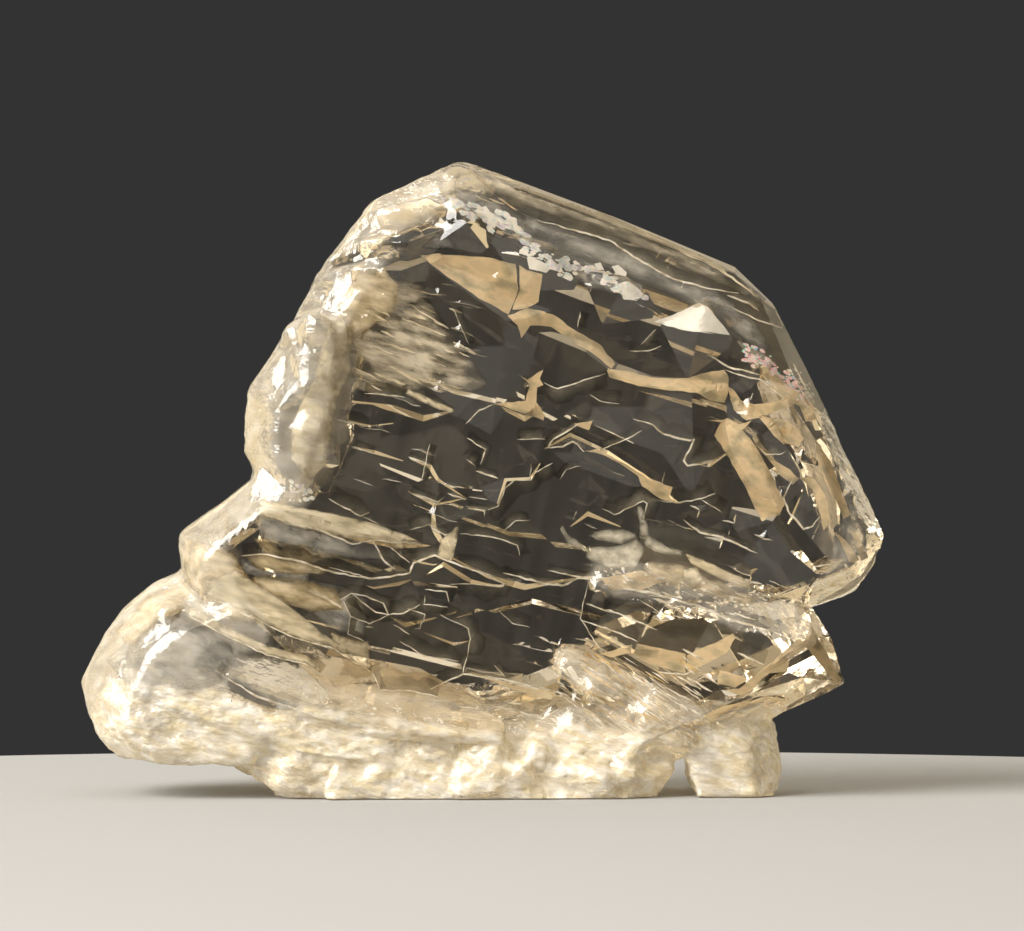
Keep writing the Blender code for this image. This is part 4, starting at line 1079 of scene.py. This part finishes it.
def rock_crystal():
    """Rock crystal, grown and etched: clear and glossy on its faces, frosted and creamy on its crust."""
    material, tree = new_material("rock_crystal")
    frost = add_node(tree, "ShaderNodeAttribute", {"attribute_name": "frost"})
    grain = growth_streaks(tree, 2.4, 1.0, 4.0)
    patches = {"From Min": 0.38, "From Max": 0.62, "To Min": 0.6, "To Max": 1.1}
    patchy = add_node(tree, "ShaderNodeMapRange", patches, {"Value": grain.outputs[0]})
    share = add_node(tree, "ShaderNodeMath", {"operation": "MULTIPLY", "use_clamp": True},
                     {0: frost.outputs["Fac"], 1: patchy.outputs[0]})
    stain = growth_streaks(tree, 1.6, 0.7)
    stained = add_node(tree, "ShaderNodeMapRange", {"From Min": 0.35, "From Max": 0.65},
                       {"Value": stain.outputs[0]})
    cream = add_node(tree, "ShaderNodeValToRGB", {}, {0: stained.outputs[0]})
    fill_ramp(cream, ((0.0, "#e6d6b0"), (0.45, "#f6ebd2"), (1.0, "#fef9ee")))
    tint = add_node(tree, "ShaderNodeMix", {"data_type": "RGBA", 6: colour("#f8eedb")},
                    {0: share.outputs[0], 7: cream.outputs[0]})
    gloss = add_node(tree, "ShaderNodeMapRange", {"To Min": 0.015, "To Max": 0.24},
                     {"Value": share.outputs[0]})
    mottle = growth_streaks(tree, 1.2, 6.0)
    clouds = {"From Min": 0.3, "From Max": 0.7, "To Min": 0.999, "To Max": 0.984}
    haze = add_node(tree, "ShaderNodeMapRange", clouds, {"Value": mottle.outputs[0]})
    clear = add_node(tree, "ShaderNodeMapRange", {"To Max": 0.5},
                     {"Value": share.outputs[0], "To Min": haze.outputs[0]})
    fine = growth_streaks(tree, 0.8, 0.36)
    pits = add_node(tree, "ShaderNodeMath", {"operation": "MULTIPLY"},
                    {0: fine.outputs[0], 1: share.outputs[0]})
    bump = add_node(tree, "ShaderNodeBump", {"Strength": 1.0, "Distance": PIT_DEPTH * MM},
                    {"Height": pits.outputs[0]})
    shader = add_node(tree, "ShaderNodeBsdfPrincipled", {"IOR": QUARTZ_IOR}, {
        "Base Color": tint.outputs[2],
        "Roughness": gloss.outputs[0],
        "Transmission Weight": clear.outputs[0],
        "Normal": bump.outputs[0],
    })
    absorbed = {"Color": colour("#efdfbc"), "Density": QUARTZ_ABSORPTION}
    dark = add_node(tree, "ShaderNodeVolumeAbsorption", absorbed)
    add_node(tree, "ShaderNodeOutputMaterial", {},
             {"Surface": shader.outputs[0], "Volume": dark.outputs[0]})
    return material


def inner_film(name, codes, clear_low, clear_high, along, across):
    """A thin film in the crystal that bends no light: its colours and how far it shows vary in streaks."""
    material, tree = new_material(name)
    streaks = growth_streaks(tree, along, across)
    spread = add_node(tree, "ShaderNodeMapRange", {"From Min": 0.35, "From Max": 0.65},
                      {"Value": streaks.outputs[0]})
    ramp = add_node(tree, "ShaderNodeValToRGB", {}, {0: spread.outputs[0]})
    fill_ramp(ramp, [(index / (len(codes) - 1), code) for index, code in enumerate(codes)])
    shown = add_node(tree, "ShaderNodeMapRange", {"To Min": 1.0 - clear_high, "To Max": 1.0 - clear_low},
                     {"Value": spread.outputs[0]})
    glow = add_node(tree, "ShaderNodeAttribute", {"attribute_name": "glow"})
    seen = add_node(tree, "ShaderNodeMath", {"operation": "MULTIPLY"},
                    {0: shown.outputs[0], 1: glow.outputs["Fac"]})
    clear = add_node(tree, "ShaderNodeMath", {"operation": "SUBTRACT", 0: 1.0}, {1: seen.outputs[0]})
    shader = add_node(tree, "ShaderNodeBsdfPrincipled", {"IOR": 1.0, "Roughness": 0.0}, {
        "Base Color": ramp.outputs[0],
        "Transmission Weight": clear.outputs[0],
    })
    add_node(tree, "ShaderNodeOutputMaterial", {}, {"Surface": shader.outputs[0]})
    return material


# Each piece of film or flakes: the name of its finish, its colours, the least and the most that it lets
# through, and its grain in mm along and across the growth lines
FILMS = {
    # inner growth faces, with the warm light they throw back painted on them in patches of olive and
    # pinkish tan
    "tan_growth_faces": (
        "warm_growth_face", ("#b8ad92", "#d2c3a4", "#e6d2b0", "#d6c5a6"), 0.02, 0.16, 2.2, 1.2,
    ),
    # ribs and small facets are a cloudy cream; the bright strips along the edges, painted edge highlights,
    # share this finish
    "cream_growth_faces": ("cream_growth_face", ("#d0c8b4", "#e8e0ca", "#faf4e6"), 0.02, 0.32, 2.4, 0.8),
    # a few inner faces painted almost white, as the highlights they throw back
    "pale_growth_faces": ("pale_growth_face", ("#f8f8f8", "#ffffff"), 0.0, 0.05, 0.8, 0.8),
    # healed cracks, seen edge on, are bright cream threads; the white flecks with them are painted glints
    "healed_cracks": ("healed_crack", ("#dcd2bc", "#faf5ea", "#ffffff"), 0.0, 0.4, 0.8, 0.5),
    # the splinters are stained a pale gold
    "golden_splinters": ("golden_splinter", ("#d6b26a", "#f0dca8"), 0.05, 0.35, 0.6, 0.6),
    # veils of tiny bubbles are drawn out in streaks
    "streaked_veils": ("streaked_bubble_veil", ("#bdb6a6", "#d8d2c4", "#efeadf"), 0.2, 0.92, 2.6, 0.75),
    # bubbles too small to see make an even haze
    "soft_veils": ("soft_bubble_veil", ("#c9c6bc", "#dad7ce"), 0.62, 0.9, 2.0, 2.0),
    # a haze under the roof and between the ribs, with the light of the sky that it catches painted on it as
    # a bluish grey
    "cool_veils": ("cool_bubble_veil", ("#babcc0", "#d8d8d8"), 0.38, 0.76, 2.2, 1.0),
    # a cream cloud lies along the ribs and the roof
    "milky_veils": ("milky_bubble_veil", ("#d2c5a6", "#e6dabd", "#f6ecd8"), 0.1, 0.62, 2.4, 0.8),
    # the plumes of bubbles are thick and grey-white
    "fluffy_veils": ("plume_of_bubbles", ("#c4c3bc", "#dad8d0", "#ecebe6"), 0.0, 0.32, 0.9, 0.7),
    # flakes painted with the pale lilac and green gleam of mother of pearl, a painted sheen
    "pearly_flecks": (
        "pearly_fleck", ("#e4dcf4", "#ffffff", "#d0e8f4", "#ffffff", "#fffaf2", "#ffffff", "#e6e0f8"), 0.0,
        0.12, 0.5, 0.5,
    ),
    # flakes of a thin crack split the light into colours, painted on them as rainbow glints
    "rainbow_flecks": (
        "rainbow_fleck", ("#52e0c4", "#ffffff", "#f2fbff", "#ff8eb0", "#ffffff", "#ffeec4", "#86bcff"), 0.0,
        0.1, 0.3, 0.3,
    ),
}


# ---------------------------------------------------------------------------------------------------------
# Pieces

def crystal():
    """The whole crystal, with all that lies in it."""
    bm = bmesh.new()
    bm.from_mesh(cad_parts[CRYSTAL_NODE].data)
    bmesh.ops.remove_doubles(bm, verts=bm.verts[:], dist=0.000001)
    find = surface_finder(bm)
    body = new_piece("crystal_body", bm)
    mesh = unite(body, fine_steps(find, random.Random(STEP_SEED)))
    bpy.data.objects.remove(body, do_unlink=True)
    bm = bmesh.new()
    bm.from_mesh(mesh)
    bmesh.ops.triangulate(bm, faces=bm.faces[:])
    refine(bm)
    round_off(bm)
    roughen(bm)
    inner_films(surface_finder(bm), random.Random(SEED))
    piece = new_piece("clear_crystal", bm)
    write_frost(piece.data)
    piece.data.materials.append(rock_crystal())
    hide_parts(CRYSTAL_NODE)
    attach(piece, "root")


# In mm: the floor's radius, and where its middle lies
FLOOR_RADIUS = 120.0
FLOOR_PLACE = (0.0, -60.0, -0.1)


def floor():
    """A round pale card, larger towards the camera than behind, just under the base."""
    bm = bmesh.new()
    bmesh.ops.create_circle(bm, cap_ends=True, segments=128, radius=FLOOR_RADIUS * MM)
    bmesh.ops.translate(bm, verts=bm.verts, vec=Vector(FLOOR_PLACE) * MM)
    piece = new_piece("floor", bm)
    material, tree = new_material("pale_matt_card")
    shader = add_node(tree, "ShaderNodeBsdfPrincipled", {"Base Color": colour("#979694"), "Roughness": 0.9})
    add_node(tree, "ShaderNodeOutputMaterial", {}, {"Surface": shader.outputs[0]})
    piece.data.materials.append(material)


# ---------------------------------------------------------------------------------------------------------
# Light and camera

# The light from all round, by the sine of its elevation: dark by the horizon, warm above it, pale overhead
WORLD_BANDS = (
    (-1.0, "#f2eada"),
    (-0.55, "#d6c8ac"),
    (-0.36, "#3a3630"),
    (-0.28, "#333333"),
    (0.24, "#333333"),
    (0.32, "#584e40"),
    (0.44, "#bfab88"),
    (0.62, "#e8dec6"),
    (0.85, "#fffbf4"),
)


def surroundings():
    """The soft light from all round, in bands by height."""
    world = bpy.data.worlds.new("soft_studio")
    bpy.context.scene.world = world
    world.use_nodes = True
    tree = world.node_tree
    tree.nodes.clear()
    where = add_node(tree, "ShaderNodeTexCoord")
    split = add_node(tree, "ShaderNodeSeparateXYZ", {}, {"Vector": where.outputs["Generated"]})
    to_ramp = add_node(tree, "ShaderNodeMapRange", {"From Min": -1.0, "From Max": 1.0},
                       {"Value": split.outputs["Z"]})
    ramp = add_node(tree, "ShaderNodeValToRGB", {}, {0: to_ramp.outputs[0]})
    fill_ramp(ramp, [(0.5 + 0.5 * height, code) for height, code in WORLD_BANDS])
    light = add_node(tree, "ShaderNodeBackground", {"Strength": 1.0}, {"Color": ramp.outputs[0]})
    add_node(tree, "ShaderNodeOutputWorld", {}, {"Surface": light.outputs[0]})


# Where the soft lamps aim, then the name, place, size, power in watts and colour of each
LAMP_AIM = (0.0, 0.0, 0.025)
LAMPS = (
    ("key_top_left", (-0.50, -0.37, 0.39), (0.56, 0.56), 14.5, "#fffcf8"),
    ("back_left", (-0.34, 0.42, 0.12), (0.36, 0.40), 0.4, "#efdfbc"),
    ("back_right", (0.34, 0.42, 0.12), (0.36, 0.40), 0.4, "#efdfbc"),
)


def lamps():
    """The soft lamps, which the camera doesn't see, all aimed at the middle of the crystal."""
    aim = Vector(LAMP_AIM)
    for name, place, size, power, code in LAMPS:
        light = bpy.data.lights.new(name, "AREA")
        light.shape = "RECTANGLE"
        light.size, light.size_y = size
        light.energy = power
        light.color = colour(code)[:3]
        item = bpy.data.objects.new(name, light)
        bpy.context.scene.collection.objects.link(item)
        item.location = place
        item.rotation_euler = (aim - item.location).to_track_quat("-Z", "Y").to_euler()
        item.visible_camera = False


def camera():
    """A long lens, level and square to the broad face, as far off as fits the image's width."""
    data = bpy.data.cameras.new("camera")
    data.lens = CAMERA_LENS
    data.sensor_width = CAMERA_SENSOR
    data.clip_start = 0.01
    item = bpy.data.objects.new("camera", data)
    bpy.context.scene.collection.objects.link(item)
    middle_x = (0.5 * IMAGE_WIDTH - ORIGIN_PIXEL[0]) * MM_PER_PIXEL
    middle_z = (ORIGIN_PIXEL[1] - 0.5 * IMAGE_HEIGHT) * MM_PER_PIXEL
    distance = IMAGE_WIDTH * MM_PER_PIXEL * CAMERA_LENS / CAMERA_SENSOR
    item.location = Vector((middle_x, -distance - BROAD_FACE, middle_z)) * MM
    item.rotation_euler = (math.radians(90.0), 0.0, 0.0)
    bpy.context.scene.camera = item


BOUNCES = 24


def view_settings():
    """Colours as they are, and enough bounces for light to get through the crystal."""
    scene = bpy.context.scene
    scene.view_settings.view_transform = "Standard"
    scene.cycles.max_bounces = BOUNCES
    scene.cycles.transmission_bounces = BOUNCES


crystal()
floor()
surroundings()
lamps()
camera()
view_settings()
